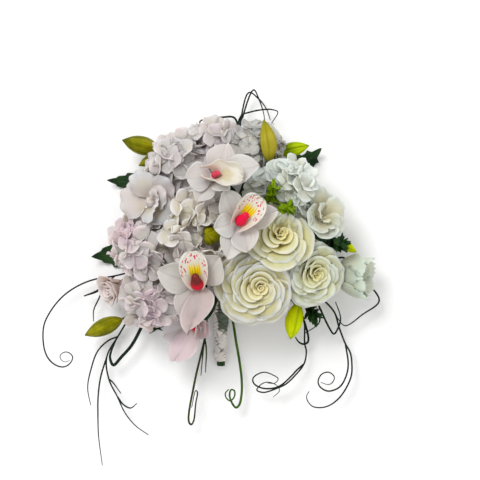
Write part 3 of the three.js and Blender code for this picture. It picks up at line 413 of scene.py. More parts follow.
class Look:
    """A material: a Principled shader, its colour so far, and short ways to add the nodes that feed
    them. `place` says how far along and across its petal a point is, and the number of its own."""

    def __init__(self, name, roughness, **sockets):
        self.material = bpy.data.materials.new(name)
        self.material.use_nodes = True
        self.nodes = self.material.node_tree.nodes
        self.links = self.material.node_tree.links
        self.shader = self.nodes["Principled BSDF"]
        self.shader.inputs["Roughness"].default_value = roughness
        for socket, value in sockets.items():
            self.shader.inputs[socket.replace("_", " ")].default_value = value
        self.place = self.add("ShaderNodeAttribute", attribute_name="place").outputs["Vector"]
        self.along, self.across, self.own = self.add("ShaderNodeSeparateXYZ", self.place).outputs

    def add(self, kind, *values, **settings):
        """A node with these settings, whose first inputs take the values."""
        node = self.nodes.new(kind)
        for name, value in settings.items():
            setattr(node, name, value)
        for socket, value in zip(node.inputs, values):
            self.feed(socket, value)
        return node

    def feed(self, socket, value):
        if isinstance(value, bpy.types.NodeSocket):
            self.links.new(value, socket)
        else:
            socket.default_value = (*value, 1) if socket.type == "RGBA" else value

    def math(self, operation, *values):
        return self.add("ShaderNodeMath", *values, operation=operation).outputs[0]

    def times(self, a, b):
        return self.math("MULTIPLY", a, b)

    def off_middle(self, value):
        """How far the fraction of a value is from a half."""
        return self.math("ABSOLUTE", self.math("SUBTRACT", self.math("FRACT", value), 0.5))

    def between(self, value, low, high):
        """0 below low, 1 above high, and smooth between them. High may be the lower one."""
        ends = min(low, high), max(low, high), float(low > high), float(low < high)
        return self.add("ShaderNodeMapRange", value, *ends, interpolation_type="SMOOTHSTEP").outputs[0]

    def ramp(self, value, *stops):
        node = self.add("ShaderNodeValToRGB", value)
        elements = node.color_ramp.elements
        while len(elements) < len(stops):
            elements.new(0.5)
        for element, (position, colour) in zip(elements, stops):
            element.position = position
            element.color = (*colour, 1)
        return node.outputs[0]

    def mix(self, factor, a, b, blend="MIX"):
        node = self.add("ShaderNodeMix", factor, data_type="RGBA", blend_type=blend)
        self.feed(node.inputs[6], a)
        self.feed(node.inputs[7], b)
        return node.outputs[2]

    def cover(self, other, mask, share=1.0):
        """Lays another colour over the one so far, by the mask times the share."""
        self.colour = self.mix(self.times(mask, share), self.colour, other)

    def texture(self, kind, vector, **sockets):
        node = self.add(kind, vector)
        for name, value in sockets.items():
            node.inputs[name].default_value = value
        return node.outputs

    def noise(self, scale, detail=2.0):
        where = self.add("ShaderNodeTexCoord").outputs["Object"]
        return self.texture("ShaderNodeTexNoise", where, Scale=scale, Detail=detail)["Fac"]

    def patches(self, scale, detail, low, high):
        return self.between(self.noise(scale, detail), low, high)

    def stretched(self, *stretch):
        """Places on the petals or stems, stretched before a texture reads them."""
        node = self.add("ShaderNodeMapping", self.place)
        node.inputs["Scale"].default_value = stretch
        return node.outputs[0]

    def fibres(self, detail, *stretch):
        """Noise that is drawn out along the petals or stems."""
        return self.texture("ShaderNodeTexNoise", self.stretched(*stretch), Scale=1, Detail=detail)["Fac"]

    def bump(self, height, strength, distance):
        node = self.add("ShaderNodeBump", strength, distance * MM)
        self.feed(node.inputs["Height"], height)
        earlier = self.shader.inputs["Normal"]
        if earlier.is_linked:
            self.links.new(earlier.links[0].from_socket, node.inputs["Normal"])
        self.links.new(node.outputs[0], earlier)

    def painted(self):
        self.feed(self.shader.inputs["Base Color"], self.colour)
        return self.material


# Where the colours of a petal lie. Most are near the rim, which can be seen.
STOPS = (0.3, 0.6, 0.8, 0.9, 0.955)


def petal_look(name, colours, flush=None, vein=9, heart=None):
    """Petals of cloth, coloured from root to rim, each a little different, and those at the heart of
    a bloom by a colour of their own, with fine veins and the grain of the cloth."""
    look = Look(
        name, 0.65, Sheen_Weight=0.08, Sheen_Roughness=0.5, Specular_IOR_Level=0.25,
        Subsurface_Weight=0.6, Subsurface_Radius=(1, 0.85, 0.7), Subsurface_Scale=0.006)
    wander = look.times(look.math("SUBTRACT", look.noise(45), 0.5), 0.16)
    # Warmer and darker towards the root: partly the petals' own colour, partly painted shade of the gaps
    # between petals.
    look.colour = look.ramp(look.math("ADD", look.along, wander), *zip(STOPS[-len(colours):], colours))
    if flush:
        look.cover(flush, look.patches(30, 2, 0.42, 0.66), 0.7)
    look.cover(colours[2], look.between(look.fibres(3, 1.5, vein, 9), 0.35, 0.75), 0.22)
    if heart:
        look.cover(heart, look.between(look.own, 0.4, 0.9), 0.75)
    tint = look.ramp(look.own, (0, (0.88, 0.86, 0.84)), (0.5, (0.96, 0.96, 0.95)), (1, (1, 1, 1)))
    look.colour = look.mix(1.0, look.colour, tint, blend="MULTIPLY")
    look.bump(look.fibres(3, 2.2, vein, 9), 0.5, 0.5)
    look.bump(look.noise(900), 0.25, 0.15)
    return look.painted()


def tepal_look(name, flush, flush_from, body):
    """A waxy orchid tepal, flushed pink towards its heart or all over."""
    look = Look(
        name, 0.5, Sheen_Weight=0.08, Specular_IOR_Level=0.35,
        Subsurface_Weight=0.5, Subsurface_Radius=(1, 0.8, 0.75), Subsurface_Scale=0.005)
    near = look.times(look.between(look.along, flush_from, 0.0), look.patches(38, 2, 0.25, 0.65))
    look.colour = look.mix(look.math("MAXIMUM", near, look.own), body, flush)
    side = look.math("ABSOLUTE", look.across)
    edge = look.between(look.math("MAXIMUM", side, look.along), 0.88, 1.0)
    look.cover((0.72, 0.71, 0.66), edge, 0.4)
    # Painted shade down the groove along the tepal's middle.
    groove = look.between(side, 0.16, 0.0)
    look.cover((0.38, 0.29, 0.27), groove, 0.3)
    shaded = look.between(look.along, 0.6, 0.15)
    look.cover((0.37, 0.31, 0.29), shaded, 0.5)
    look.cover((0.4, 0.36, 0.33), look.between(look.fibres(3, 1.2, 11, 9), 0.4, 0.75), 0.4)
    look.bump(look.fibres(3, 1.5, 14, 9), 0.5, 0.6)
    look.bump(look.noise(700), 0.15, 0.1)
    return look.painted()


def lip_look(name, marked):
    """A cream lip. A marked one has a striped yellow callus and red spots inside its rim."""
    look = Look(
        name, 0.45, Sheen_Weight=0.05, Specular_IOR_Level=0.3,
        Subsurface_Weight=0.4, Subsurface_Radius=(1, 0.8, 0.6), Subsurface_Scale=0.004)
    side = look.math("ABSOLUTE", look.across)
    # Darker and warmer towards the throat: partly the lip's own colour, partly painted shade near the column.
    throat = look.between(look.along, 0.4, 0.12)
    look.colour = look.mix(throat, (0.64, 0.6, 0.51), (0.64, 0.51, 0.44))
    frayed = look.math("ADD", look.along, look.times(look.fibres(2, 2, 12, 1), 0.3))
    yellow = look.times(look.between(side, 0.48, 0.32), look.between(look.along, 0.2, 0.32))
    yellow = look.times(yellow, look.between(frayed, 0.9, 0.66))
    centred = look.times(look.math("SUBTRACT", look.along, 0.4), 1.7)
    outer = look.math("ADD", look.times(centred, centred), look.times(side, side))
    if marked:
        stripes = look.between(look.math("FRACT", look.times(side, 7)), 0.5, 0.05)
        look.cover(look.mix(look.times(stripes, 0.7), (0.86, 0.56, 0.0), (0.34, 0.2, 0.0)), yellow)
        field = look.times(look.between(outer, 0.3, 0.4), look.between(outer, 1.1, 0.96))
        field = look.times(field, look.between(look.along, 0.3, 0.42))
        cells = look.texture("ShaderNodeTexVoronoi", look.stretched(11, 8, 1), Scale=1)["Distance"]
        look.cover((0.55, 0.003, 0.05), look.between(cells, 0.42, 0.3), field)
    else:
        look.cover((0.55, 0.45, 0.22), yellow, 0.6)
    rim = look.between(outer, 0.95, 1.15)
    look.cover((0.68, 0.65, 0.58), rim, 0.5)
    look.bump(look.fibres(3, 1.5, 10, 9), 0.35, 0.4)
    return look.painted()


def column_look(name, base, head):
    look = Look(name, 0.35, Specular_IOR_Level=0.2)
    look.colour = look.ramp(look.along, (0.0, base), (0.38, base), (0.5, head), (1.0, head))
    look.cover((0.35, 0.01, 0.03), look.patches(220, 3, 0.35, 0.7), 0.25)
    look.bump(look.noise(260), 0.2, 0.3)
    return look.painted()


def bud_look(name, dark, body, light):
    """A ribbed orchid bud with a darker base, and painted shade in dark seams down the grooves between its
    lobes.
    """
    look = Look(name, 0.55, Specular_IOR_Level=0.06)
    look.colour = look.ramp(look.along, (0.0, dark), (0.25, body), (0.7, body), (1.0, dark))
    look.cover(light, look.patches(55, 3, 0.35, 0.65))
    ribs = look.fibres(2, 0.8, 13, 5)
    look.cover(dark, look.between(ribs, 0.35, 0.7), 0.35)
    # Painted shade down the grooves between the three lobes.
    lobes = look.math("ADD", look.times(look.across, 1.5), 0.5)
    look.cover(dark, look.between(look.off_middle(lobes), 0.1, 0.01), 0.6)
    look.bump(ribs, 0.5, 0.8)
    look.bump(look.noise(600), 0.15, 0.15)
    return look.painted()


def leaf_look():
    """A dark leaf with a pale rib and side veins that run out to the teeth."""
    look = Look("leaf", 0.55, Specular_IOR_Level=0.15)
    side = look.math("ABSOLUTE", look.across)
    slant = look.math("SUBTRACT", look.times(look.along, TEETH), look.times(side, 1.1))
    vein = look.between(look.off_middle(slant), 0.09, 0.0)
    lines = look.math("MAXIMUM", look.times(vein, 0.6), look.between(side, 0.05, 0.01))
    look.colour = look.mix(look.patches(60, 3, 0.35, 0.7), (0.012, 0.035, 0.014), (0.03, 0.075, 0.022))
    look.cover((0.08, 0.14, 0.05), lines, 0.6)
    look.bump(look.math("SUBTRACT", 1.0, lines), 0.6, 0.6)
    look.bump(look.noise(500), 0.3, 0.2)
    return look.painted()


def stalk_look(name, dark, light, roughness=0.45):
    """Plastic stems and grass, streaked along their length."""
    look = Look(name, roughness, Specular_IOR_Level=0.12)
    look.colour = look.mix(look.between(look.fibres(3, 14, 3, 5), 0.35, 0.7), dark, light)
    look.cover(dark, look.patches(45, 2, 0.55, 0.75))
    look.bump(look.fibres(2, 3, 7, 5), 0.4, 0.4)
    return look.painted()


def ribbon_look():
    """Satin with a fine weave, with painted shade down in its folds and where the flowers shade it."""
    look = Look("ribbon", 0.45, Sheen_Weight=0.2, Sheen_Roughness=0.3, Specular_IOR_Level=0.4)
    look.colour = look.mix(look.patches(90, 3, 0.3, 0.75), (0.62, 0.58, 0.53), (0.82, 0.77, 0.73))
    # Painted shade: dark where a point lies low between the folds or in the flowers' shade.
    look.cover((0.08, 0.1, 0.07), look.between(look.own, 0.5, 0.16))
    look.bump(look.fibres(1, 220, 60, 1), 0.2, 0.15)
    return look.painted()


def grained_look(name, roughness, scale, dark, light, grain, strength):
    look = Look(name, roughness)
    look.colour = look.mix(look.noise(scale), dark, light)
    look.bump(look.noise(grain), strength, 0.2)
    return look.painted()


# Root colours: the ochre, straw and cream of the roses and the beige SHADE of the florets are partly the
# petals' own colour and partly painted shade of the gaps between petals.
OCHRE, STRAW, CREAMY = (0.66, 0.42, 0.06), (0.72, 0.57, 0.17), (0.7, 0.62, 0.28)
SHADE = (0.58, 0.53, 0.47)
LOOK_TABLES = {
    tepal_look: [  # the flush, how far out it starts, and the colour of the body
        ("tepal_front", (0.44, 0.34, 0.33), 0.8, (0.54, 0.515, 0.47)),
        ("tepal_centre", (0.52, 0.43, 0.42), 0.6, (0.57, 0.545, 0.515)),
        ("tepal_top", (0.56, 0.46, 0.44), 0.6, (0.54, 0.51, 0.49)),
        ("tepal_low", (0.62, 0.43, 0.47), 0.8, (0.64, 0.58, 0.59)),
    ],
    column_look: [  # the base and the head
        # The front column's near-black head is painted shade under its hood.
        ("column_front", (0.7, 0.0, 0.02), (0.12, 0.015, 0.01)),
        ("column_centre", (0.72, 0.0, 0.04), (0.75, 0.0, 0.045)),
        ("column_top", (0.66, 0.03, 0.07), (0.6, 0.05, 0.09)),
        ("column_low", (0.7, 0.005, 0.05), (0.7, 0.01, 0.06)),
    ],
    petal_look: [  # the colours from root to rim, the flush, the count of veins, and the heart
        ("rose_front", (OCHRE, STRAW, CREAMY, (0.66, 0.61, 0.35), (0.8, 0.79, 0.72)), None, 7,
         (0.88, 0.77, 0.36)),
        ("rose_centre", (OCHRE, STRAW, (0.74, 0.68, 0.3), (0.75, 0.72, 0.4), (0.84, 0.83, 0.68)), None, 7,
         (0.9, 0.78, 0.3)),
        ("rose_right", ((0.62, 0.5, 0.14), (0.68, 0.6, 0.22), (0.67, 0.65, 0.33), (0.66, 0.68, 0.42),
                        (0.76, 0.8, 0.7)), None, 7, (0.82, 0.72, 0.28)),
        ("pale_petal", ((0.54, 0.56, 0.4), (0.57, 0.64, 0.48), (0.58, 0.68, 0.54), (0.64, 0.74, 0.62)),
         None, 12),
        ("white_petal", ((0.62, 0.57, 0.36), (0.63, 0.62, 0.46), (0.62, 0.66, 0.53), (0.68, 0.75, 0.66)),
         None, 7, (0.68, 0.64, 0.42)),
        ("cream_petal", ((0.6, 0.5, 0.36), (0.62, 0.56, 0.47), (0.6, 0.59, 0.57), (0.58, 0.6, 0.61),
                         (0.62, 0.59, 0.6)), (0.6, 0.5, 0.48), 7),
        ("blush_bud", ((0.72, 0.5, 0.42), (0.72, 0.55, 0.5), (0.72, 0.59, 0.56), (0.78, 0.68, 0.66)),
         None, 7),
        ("floret_pink", (SHADE, (0.6, 0.51, 0.49), (0.61, 0.5, 0.51), (0.69, 0.6, 0.61)), (0.61, 0.42, 0.48)),
        ("floret_blush", (SHADE, (0.6, 0.55, 0.52), (0.6, 0.56, 0.55), (0.66, 0.62, 0.62)),
         (0.59, 0.48, 0.51)),
        ("floret_centre", ((0.68, 0.6, 0.44), (0.72, 0.67, 0.59), (0.74, 0.7, 0.66), (0.8, 0.77, 0.74)),
         (0.72, 0.62, 0.6)),
        # Grey florets: painted shade of the top head.
        ("floret_grey", (SHADE, (0.4, 0.4, 0.37), (0.36, 0.37, 0.35), (0.46, 0.47, 0.46)),
         (0.33, 0.34, 0.33)),
        ("floret_white", ((0.68, 0.68, 0.54), (0.73, 0.77, 0.68), (0.75, 0.81, 0.74), (0.82, 0.87, 0.81)),
         (0.7, 0.76, 0.7)),
    ],
    bud_look: [  # dark, body and light
        ("bud_olive", (0.04, 0.045, 0.0), (0.16, 0.165, 0.0), (0.3, 0.28, 0.004)),
        ("bud_ochre", (0.2, 0.2, 0.004), (0.38, 0.31, 0.02), (0.42, 0.36, 0.04)),
        ("bud_moss", (0.06, 0.11, 0.0), (0.27, 0.38, 0.0), (0.42, 0.54, 0.0)),
        ("bud_lime", (0.26, 0.34, 0.0), (0.58, 0.7, 0.0), (0.72, 0.8, 0.0)),
    ],
    stalk_look: [  # dark and light
        ("stem", (0.012, 0.035, 0.01), (0.04, 0.09, 0.03), 0.6),
        ("sprig_bright", (0.05, 0.12, 0.0), (0.3, 0.44, 0.0)),
        ("sprig_dark", (0.004, 0.018, 0.004), (0.02, 0.07, 0.01)),
        ("grass_dark", (0.002, 0.006, 0.004), (0.008, 0.024, 0.014)),
        ("grass_brown", (0.01, 0.006, 0.008), (0.035, 0.022, 0.028)),
        ("grass_olive", (0.01, 0.02, 0.003), (0.06, 0.08, 0.015)),
        ("grass_green", (0.02, 0.06, 0.003), (0.08, 0.18, 0.01)),
    ],
    lip_look: [("lip", True), ("lip_plain", False)],
}
LOOKS = {row[0]: make(*row) for make, table in LOOK_TABLES.items() for row in table}
LEAF_LOOK = leaf_look()
RIBBON_LOOK = ribbon_look()
EYE = grained_look("floret_eye", 0.6, 800, (0.5, 0.5, 0.25), (0.7, 0.66, 0.45), 1200, 0.3)
FLOOR = grained_look("floor", 0.7, 3, (0.93, 0.93, 0.93), (0.95, 0.95, 0.95), 40, 0.02)


# Petals.


ARC_STEPS = np.linspace(0, 1, 81)


def arc_table(rise, fall, late):
    """The slope, reach and height of an arc of length 1, at even steps. It turns from rise to fall,
    in degrees, and the later it is above 1, the nearer to its tip."""
    rise, fall = math.radians(rise), math.radians(fall)
    slope = rise - (rise - fall) * ARC_STEPS**late
    sums = [np.concatenate(((0,), np.cumsum((v[1:] + v[:-1]) / 2))) for v in (np.cos(slope), np.sin(slope))]
    return slope, sums[0] / (len(slope) - 1), sums[1] / (len(slope) - 1)


def arc(spec, bend, s, lift):
    """How far from the axis and how high a petal's points are: along the arc that it follows from
    its root, and lifted off it."""
    table = arc_table(spec.rise + bend, spec.fall + 0.3 * bend, spec.late)
    slope, reach, height = (np.interp(s, ARC_STEPS, column) for column in table)
    reach = spec.root + spec.length * reach - np.sin(slope) * lift
    return reach, spec.back + spec.length * height + np.cos(slope) * lift


def laid_out(angle, reach, aside, up):
    """Points that lie out from an axis at an angle, in degrees, and aside of that line and up."""
    a = math.radians(angle)
    outwards = np.array((math.cos(a), math.sin(a), 0))
    sideways = np.array((-math.sin(a), math.cos(a), 0))
    return reach[..., None] * outwards + aside[..., None] * sideways + up[..., None] * UP


def tepal(spec, bend):
    """An orchid's tepal: cupped, with a groove along its middle, a gently waved edge and a tip that
    is pinched to a point."""

    def surface(s, w):
        outline = np.sin(math.pi * (0.01 + 0.97 * s**1.2)) ** 0.8 * (1 - 0.3 * s**6)
        half = spec.width * (0.15 * (1 - s) ** 2 + outline)
        lift = 0.16 * half * w**2 - 0.5 * np.exp(-((w / 0.13) ** 2)) * (1 - s**3)
        lift += 1.8 * np.sin(spec.phase + 5 * s + 1.5 * w) * np.abs(w) ** 3 * s
        lift += spec.twist * w * s**2 + 1.2 * np.abs(w) * s**8 * half
        reach, up = arc(spec, bend, s, lift)
        return laid_out(spec.angle, reach, half * w + spec.bow * s**2, up)

    return surface


def lip(spec, bend):
    """An orchid's lip: its sides stand up round the column, its tip opens out with a frilled rim,
    and ridges run along its middle."""
    peak, root, tip = spec.peak, 0.28, 1.02
    ruffle = spec.ruffle

    def surface(s, w):
        outline = ((s + root) / (peak + root)) ** (peak + root) * ((tip - s) / (tip - peak)) ** (tip - peak)
        half = spec.width * outline * (1 + 0.035 * ruffle * np.sin(15 * s + 1.5 * np.sign(w)))
        side = np.abs(w)
        middle = np.sin(math.pi * np.clip((s - 0.08) / 0.5, 0, 1))
        lift = half * w**2 * (spec.cup - 0.75 * spec.cup * s)
        lift += 1.3 * np.exp(-(((side - 0.1) / 0.045) ** 2)) * middle
        lift += 0.8 * np.exp(-(((side - 0.26) / 0.05) ** 2)) * middle
        lift += spec.frill * (np.sin(12 * w + 13 * s) * side**6 * s + np.sin(11 * w) * s**10)
        lift += ruffle * np.sin(8 * w + 7 * s + 1) * side**1.5 * s
        reach, up = arc(spec, bend, s, lift)
        reach -= spec.arms * (1 - s) ** 2 * w**2
        inward = spec.curl * (1 - 0.5 * s) * w**2 + 0.36 * (1 - s) ** 5 * w**4
        return np.stack((reach, half * w * (1 - inward), up), -1)

    return surface


def whorl_petal(spec, bend):
    """A petal that wraps round its bloom. One edge leans out and the other in, so that neighbours
    overlap, its corners are rounded off, and its rim is waved, ragged or pleated."""
    phase = spec.phase

    def surface(s, w):
        outline = 0.35 + 0.65 * np.minimum(1, 2.5 * s) - 0.18 * s**4
        notch = spec.ragged * s**6 * (1 - np.cos(9 * math.pi * w + phase))
        lift = spec.lean * w * np.minimum(1, 3 * s) + 0.5 * spec.lean * w**2 * s
        lift += spec.wave * s**2 * (np.sin(3.2 * w + phase) + 0.6 * s**4 * np.sin(11 * w + 2 * phase))
        lift += spec.pleat * s * np.sin(15 * w + 2 * np.sin(3 * w + phase))
        reach, up = arc(spec, bend, s * (1 - spec.round * s * w**2 - notch), lift)
        around = math.radians(1) * (spec.angle + spec.sweep * outline * w)
        return np.stack((reach * np.cos(around), reach * np.sin(around), up), -1)

    return surface


BENDS = (0, 4, 8, 12, 18, 24, 30, 37, 44)  # degrees


def clear(shape, spec, where, rows, columns, crowd=1.0, bead=0.0):
    """One petal in place, bent up until it clears what is placed, or None."""
    for bend in BENDS:
        surface = shape(spec, bend)
        if not crosses(moved(sheet(surface, 7, 4, PETAL + 0.5), where)):
            return moved(sheet(surface, rows, columns, PETAL, crowd, bead), where)
    return None


# Stems and the ribbon.


def branch(back, axis, radius, calyx=0.0):
    """The stem from the binding to a bloom's back, with a calyx under a rose."""
    axis = unit(axis)
    end = np.asarray(back, float) - GAP * axis
    start = np.array(BINDING["at"], float)
    before = end - 0.4 * np.linalg.norm(end - start) * axis
    before[2] = max(before[2], LOWEST_STEM)
    shapes = [tube(bezier((start, start + 0.35 * (end - start), before, end), 18), radius)]
    if calyx:
        cup = [(0.55 * calyx, -0.9 * calyx), (0.9 * calyx, -0.35 * calyx), (calyx, 0)]
        shapes.append(moved(lathe([(radius, -1.3 * calyx), *cup], 12), frame_of(end, axis)))
    return shapes


def stem_bundle():
    parts = Parts()
    ball = [(math.sin(a), -math.cos(a)) for a in np.linspace(0.05, math.pi - 0.05, 15)]
    knot = lathe(ball, 24)
    parts.add(knot._replace(points=knot.points * BINDING["size"] + BINDING["at"]))
    core = np.linspace(HANDLE["top"], HANDLE["tip"], 30)
    parts.add(tube(core, np.linspace(HANDLE["top_radius"], HANDLE["tip_radius"], 30), 20))
    stems = []
    for bloom in ORCHIDS + BLOOMS:
        back = np.array(bloom.face, float) - unit(bloom.axis) * bloom.depth
        stems.append(branch(back, bloom.axis, bloom.stem, bloom.calyx))
    for head in HYDRANGEAS:
        back = np.array(head.centre) - 0.75 * head.radius * unit(head.axis)
        stems.append(branch(back, head.axis, STEM_RADIUS))
    ends = [(bud.base, bud.tip) for bud in BUDS] + [sprig.stalk[:2] for sprig in SPRIGS]
    for first, second in ends:
        stems.append(branch(first, np.subtract(second, first), WIRE_RADIUS))
    for k, shapes in enumerate(stems):
        for shape in shapes:
            parts.add(shape, own=(k % 7) / 7)
    piece("stem_bundle", parts, LOOKS["stem"])


def ribbon_wrap():
    """The ribbon is ruched: gathers cross as they wind both ways round the handle, and it hangs
    looser towards the head. Its folds are pale, with painted shade down between them and where the
    flowers shade them."""
    axis = np.subtract(HANDLE["tip"], HANDLE["top"])
    length = np.linalg.norm(axis)
    start, end = RIBBON["start"], length - RIBBON["bare"]
    count, sides = 150, 72
    z = np.linspace(start, end, count)[:, None]
    around = angles(sides)[None]
    part = (z - start) / (end - start)
    bundle = HANDLE["top_radius"] + (HANDLE["tip_radius"] - HANDLE["top_radius"]) * z / length + GAP
    wind = RIBBON["turns"] * part * 2 * math.pi
    lobes = np.abs(np.cos(around + 0.5 * wind)) ** 0.8
    left = np.abs(np.sin(2.5 * around + 2.5 * wind + 1.2 * np.sin(1.7 * wind + around))) ** 0.7
    right = np.abs(np.sin(1.5 * around - 3 * wind + np.sin(2 * wind))) ** 0.7
    folds = 0.4 * lobes + 0.6 * np.minimum(left, right)
    creases = 0.5 * np.sin(9 * around + 8 * wind)
    outside = bundle + 0.4 + (1.2 + np.interp(part, *LOOSE)) * (0.25 + 0.75 * folds) + creases * folds
    rings = np.stack((outside * np.cos(around), outside * np.sin(around), z + 0.8 * folds), -1)
    low, high = (bundle[k, 0] * circle(sides) + z[k, 0] * UP for k in (0, -1))
    shape = loft(np.concatenate((low[None], rings, high[None], low[None])))
    # The last ring is the first one again, so the sleeve needs no ends.
    shape = Shape(shape.points[:-2], shape.faces[:1], shape.along[:-2], shape.across[:-2])
    shape = moved(shape, frame_of(HANDLE["top"], axis))
    x, y, _ = shape.points.T
    lit = np.clip(0.5 - (x - SHADE_X) / SHADE_BORDER, 0, 1)
    lit = np.maximum(lit, np.interp(y, SHADE_Y, (1, 0)))
    # How high each point stands on its folds, less where the flowers shade it; the ribbon's look paints shade
    # where this is low.
    crest = np.concatenate((np.zeros(sides), folds.ravel(), np.zeros(2 * sides)))
    parts = Parts()
    parts.add(shape, crest * (0.2 + 0.8 * lit))
    piece("ribbon_wrap", parts, RIBBON_LOOK)


# Blooms.


def orchid(bloom, form, seed):
    draw = random.Random(seed)
    radius, which = bloom.radius, bloom.name.removeprefix("orchid_")
    where = frame_of(bloom.face, bloom.axis)
    parts = Parts()
    for tepals, back in ((bloom.sepals, SEPAL_BACK), (bloom.petals, PETAL_BACK)):
        for angle, length, bow, breadth, blush in tepals:
            spec = SimpleNamespace(
                angle=angle, width=0.35 * breadth * radius, back=back, length=length * radius, root=4,
                rise=46, fall=bloom.fall, phase=draw.uniform(0, 6), late=1.1,
                twist=draw.uniform(-3, 3), bow=bow)
            shape = clear(tepal, spec, where, 28, 18, 1.3)
            if shape:
                parts.add(shape, blush)
    parts.add(moved(lathe(ORCHID_FOOT, 20), where))
    piece(bloom.name + "_tepals", parts, LOOKS["tepal_" + which])

    turned = frame_of(bloom.face, bloom.axis, form.direction)
    spec = SimpleNamespace(**dict(
        vars(form), root=2.5, back=-7.3, length=LIP_LENGTH * radius, width=form.width * radius, rise=42,
        fall=2, late=1, peak=0.42 if form.width < 0.4 else 0.58))
    parts = Parts()
    parts.add(clear(lip, spec, turned, 36, 32, 1.2), draw.random())
    piece(bloom.name + "_lip", parts, LOOKS["lip_plain" if which == "top" else "lip"])
    parts = Parts()
    parts.add(moved(column(radius * form.column), turned))
    piece(bloom.name + "_column", parts, LOOKS["column_" + which])


SEPAL_BACK, PETAL_BACK = -17.5, -13  # the height of their roots
ORCHID_FOOT = [(4, -20), (5, -19), (5.6, -12), (5.2, -8)]
LIP_LENGTH = 0.92  # in radii of the bloom
COLUMN_RINGS = [  # [lean over the lip, height, radius] in a bloom of radius COLUMN_BLOOM
    (-1.5, -7.65, 4.2), (-1, -5, 5.6), (0.5, -2, 6.6), (3, 1.2, 6.6), (6, 4, 5.4), (9, 6.2, 4.6),
    (12, 7.6, 3.9), (14, 8.1, 2.5), (14.8, 8, 1)]
COLUMN_BLOOM = 47


def column(radius):
    """The column leans out over the lip, from a swollen foot to a rounded cap."""
    around = angles(24)
    scale = radius / COLUMN_BLOOM
    made = []
    for lean, height, size in smooth(COLUMN_RINGS, 4):
        tilt = max(0, (height + 4) / 16)
        forward = lean + size * np.cos(around) * (1 - 0.55 * tilt)
        up = height - 0.8 * size * np.cos(around) * tilt
        made.append(np.stack((forward * scale, 1.12 * size * np.sin(around) * scale, up), -1))
    return loft(np.array(made))


# Rings of petals, the outermost first: the count, the rim's radius and height, the length, rise and
# fall, how late the petals curl, and their lean. The rim's radius and the length are in radii of the
# bloom, and the rim's height in depths. In place of a count there may be the direction and the half
# width of each petal, in degrees.
RING = "count rim height length rise fall late lean"
ROSE_RINGS = named(
    RING,
    (5, 1.02, -0.40, 1.04, 58, -24, 1.8, 1.8),
    (4, 0.92, -0.31, 0.98, 66, -32, 2.8, 2.4),
    (4, 0.81, -0.23, 0.92, 71, -40, 4, 2.4),
    (4, 0.69, -0.17, 0.85, 75, -40, 5, 2.2),
    (3, 0.57, -0.12, 0.77, 77, -30, 5, 2.4),
    (3, 0.44, -0.09, 0.68, 79, -16, 5, 2.0),
    (3, 0.31, -0.07, 0.58, 81, 4, 5, 1.6),
    (3, 0.19, -0.07, 0.47, 84, 24, 5, 1.0),
    (2, 0.09, -0.06, 0.42, 88, 60, 4, 0.5),
)
OPEN_RINGS = named(
    RING,
    (4, 1.02, -0.42, 1.06, 56, -22, 1.5, 1.8),
    (3, 0.9, -0.3, 0.98, 62, -32, 2.6, 2.6),
    (3, 0.72, -0.2, 0.88, 70, -34, 4, 2.8),
    (3, 0.52, -0.11, 0.75, 76, -20, 5, 2.4),
    (3, 0.34, -0.07, 0.6, 80, 0, 5, 1.9),
    (3, 0.19, -0.06, 0.48, 84, 24, 5, 1.2),
    (2, 0.09, -0.05, 0.44, 88, 60, 4, 0.6),
)
SIDE_RINGS = named(
    RING,
    (((84, 60), (190, 70), (306, 64)), 1.04, -0.26, 1.08, 56, -22, 1.8, 2.6),
    (((20, 72), (236, 76)), 0.84, -0.06, 0.98, 64, -10, 2.4, 3.4),
    (((140, 70), (320, 76)), 0.54, 0.02, 0.84, 72, 6, 3, 3.0),
    (((230, 86),), 0.26, 0.0, 0.64, 80, 30, 4, 2.0),
)
GARDENIA_RINGS = named(
    RING,
    (((112, 58), (250, 50), (330, 60), (38, 52)), 1.0, -0.42, 1.0, 48, -16, 1.3, 2.0),
    (((182, 72), (108, 46)), 0.97, -0.24, 0.98, 46, -14, 1.3, 3.0),
    (((276, 54), (20, 60)), 0.72, -0.12, 0.84, 60, -10, 2, 3.6),
    (((328, 70), (60, 60)), 0.4, -0.05, 0.64, 72, 0, 3, 2.6),
    (((170, 90), (350, 80)), 0.2, -0.04, 0.46, 82, 30, 4, 1.2),
)
RUFFLE_RINGS = named(
    RING,
    (((150, 62), (20, 66), (262, 66)), 0.84, 0.06, 1.6, 22, 104, 1, 3.4),
    (((90, 60), (205, 66), (322, 64)), 0.7, 0.14, 1.5, 40, 100, 1, 3.0),
    (((60, 90), (240, 90)), 0.34, 0.04, 1.1, 66, 100, 1, 1.6),
)
ROSEBUD_RINGS = named(
    RING,
    (3, 1.12, -0.1, 1.65, 62, 44, 2, 2.6),
    (3, 0.82, 0.06, 1.6, 74, 58, 2.4, 2.2),
    (3, 0.46, 0.06, 1.3, 82, 70, 3, 1.6),
    (2, 0.18, 0.0, 1.1, 86, 80, 3, 0.8),
)


def around_ring(count, draw, outermost):
    """The direction and half width of each petal in a ring, in degrees."""
    if isinstance(count, tuple):
        return count
    offset = 0 if outermost else draw.uniform(0, 360 / count)
    return [(360 * n / count + offset + draw.uniform(-6, 6), 180 / count * 1.5) for n in range(count)]


def drifted(where, drift, share):
    axes, origin = where
    return axes, np.asarray(origin) + share * (drift[0] * axes[0] + drift[1] * axes[1])


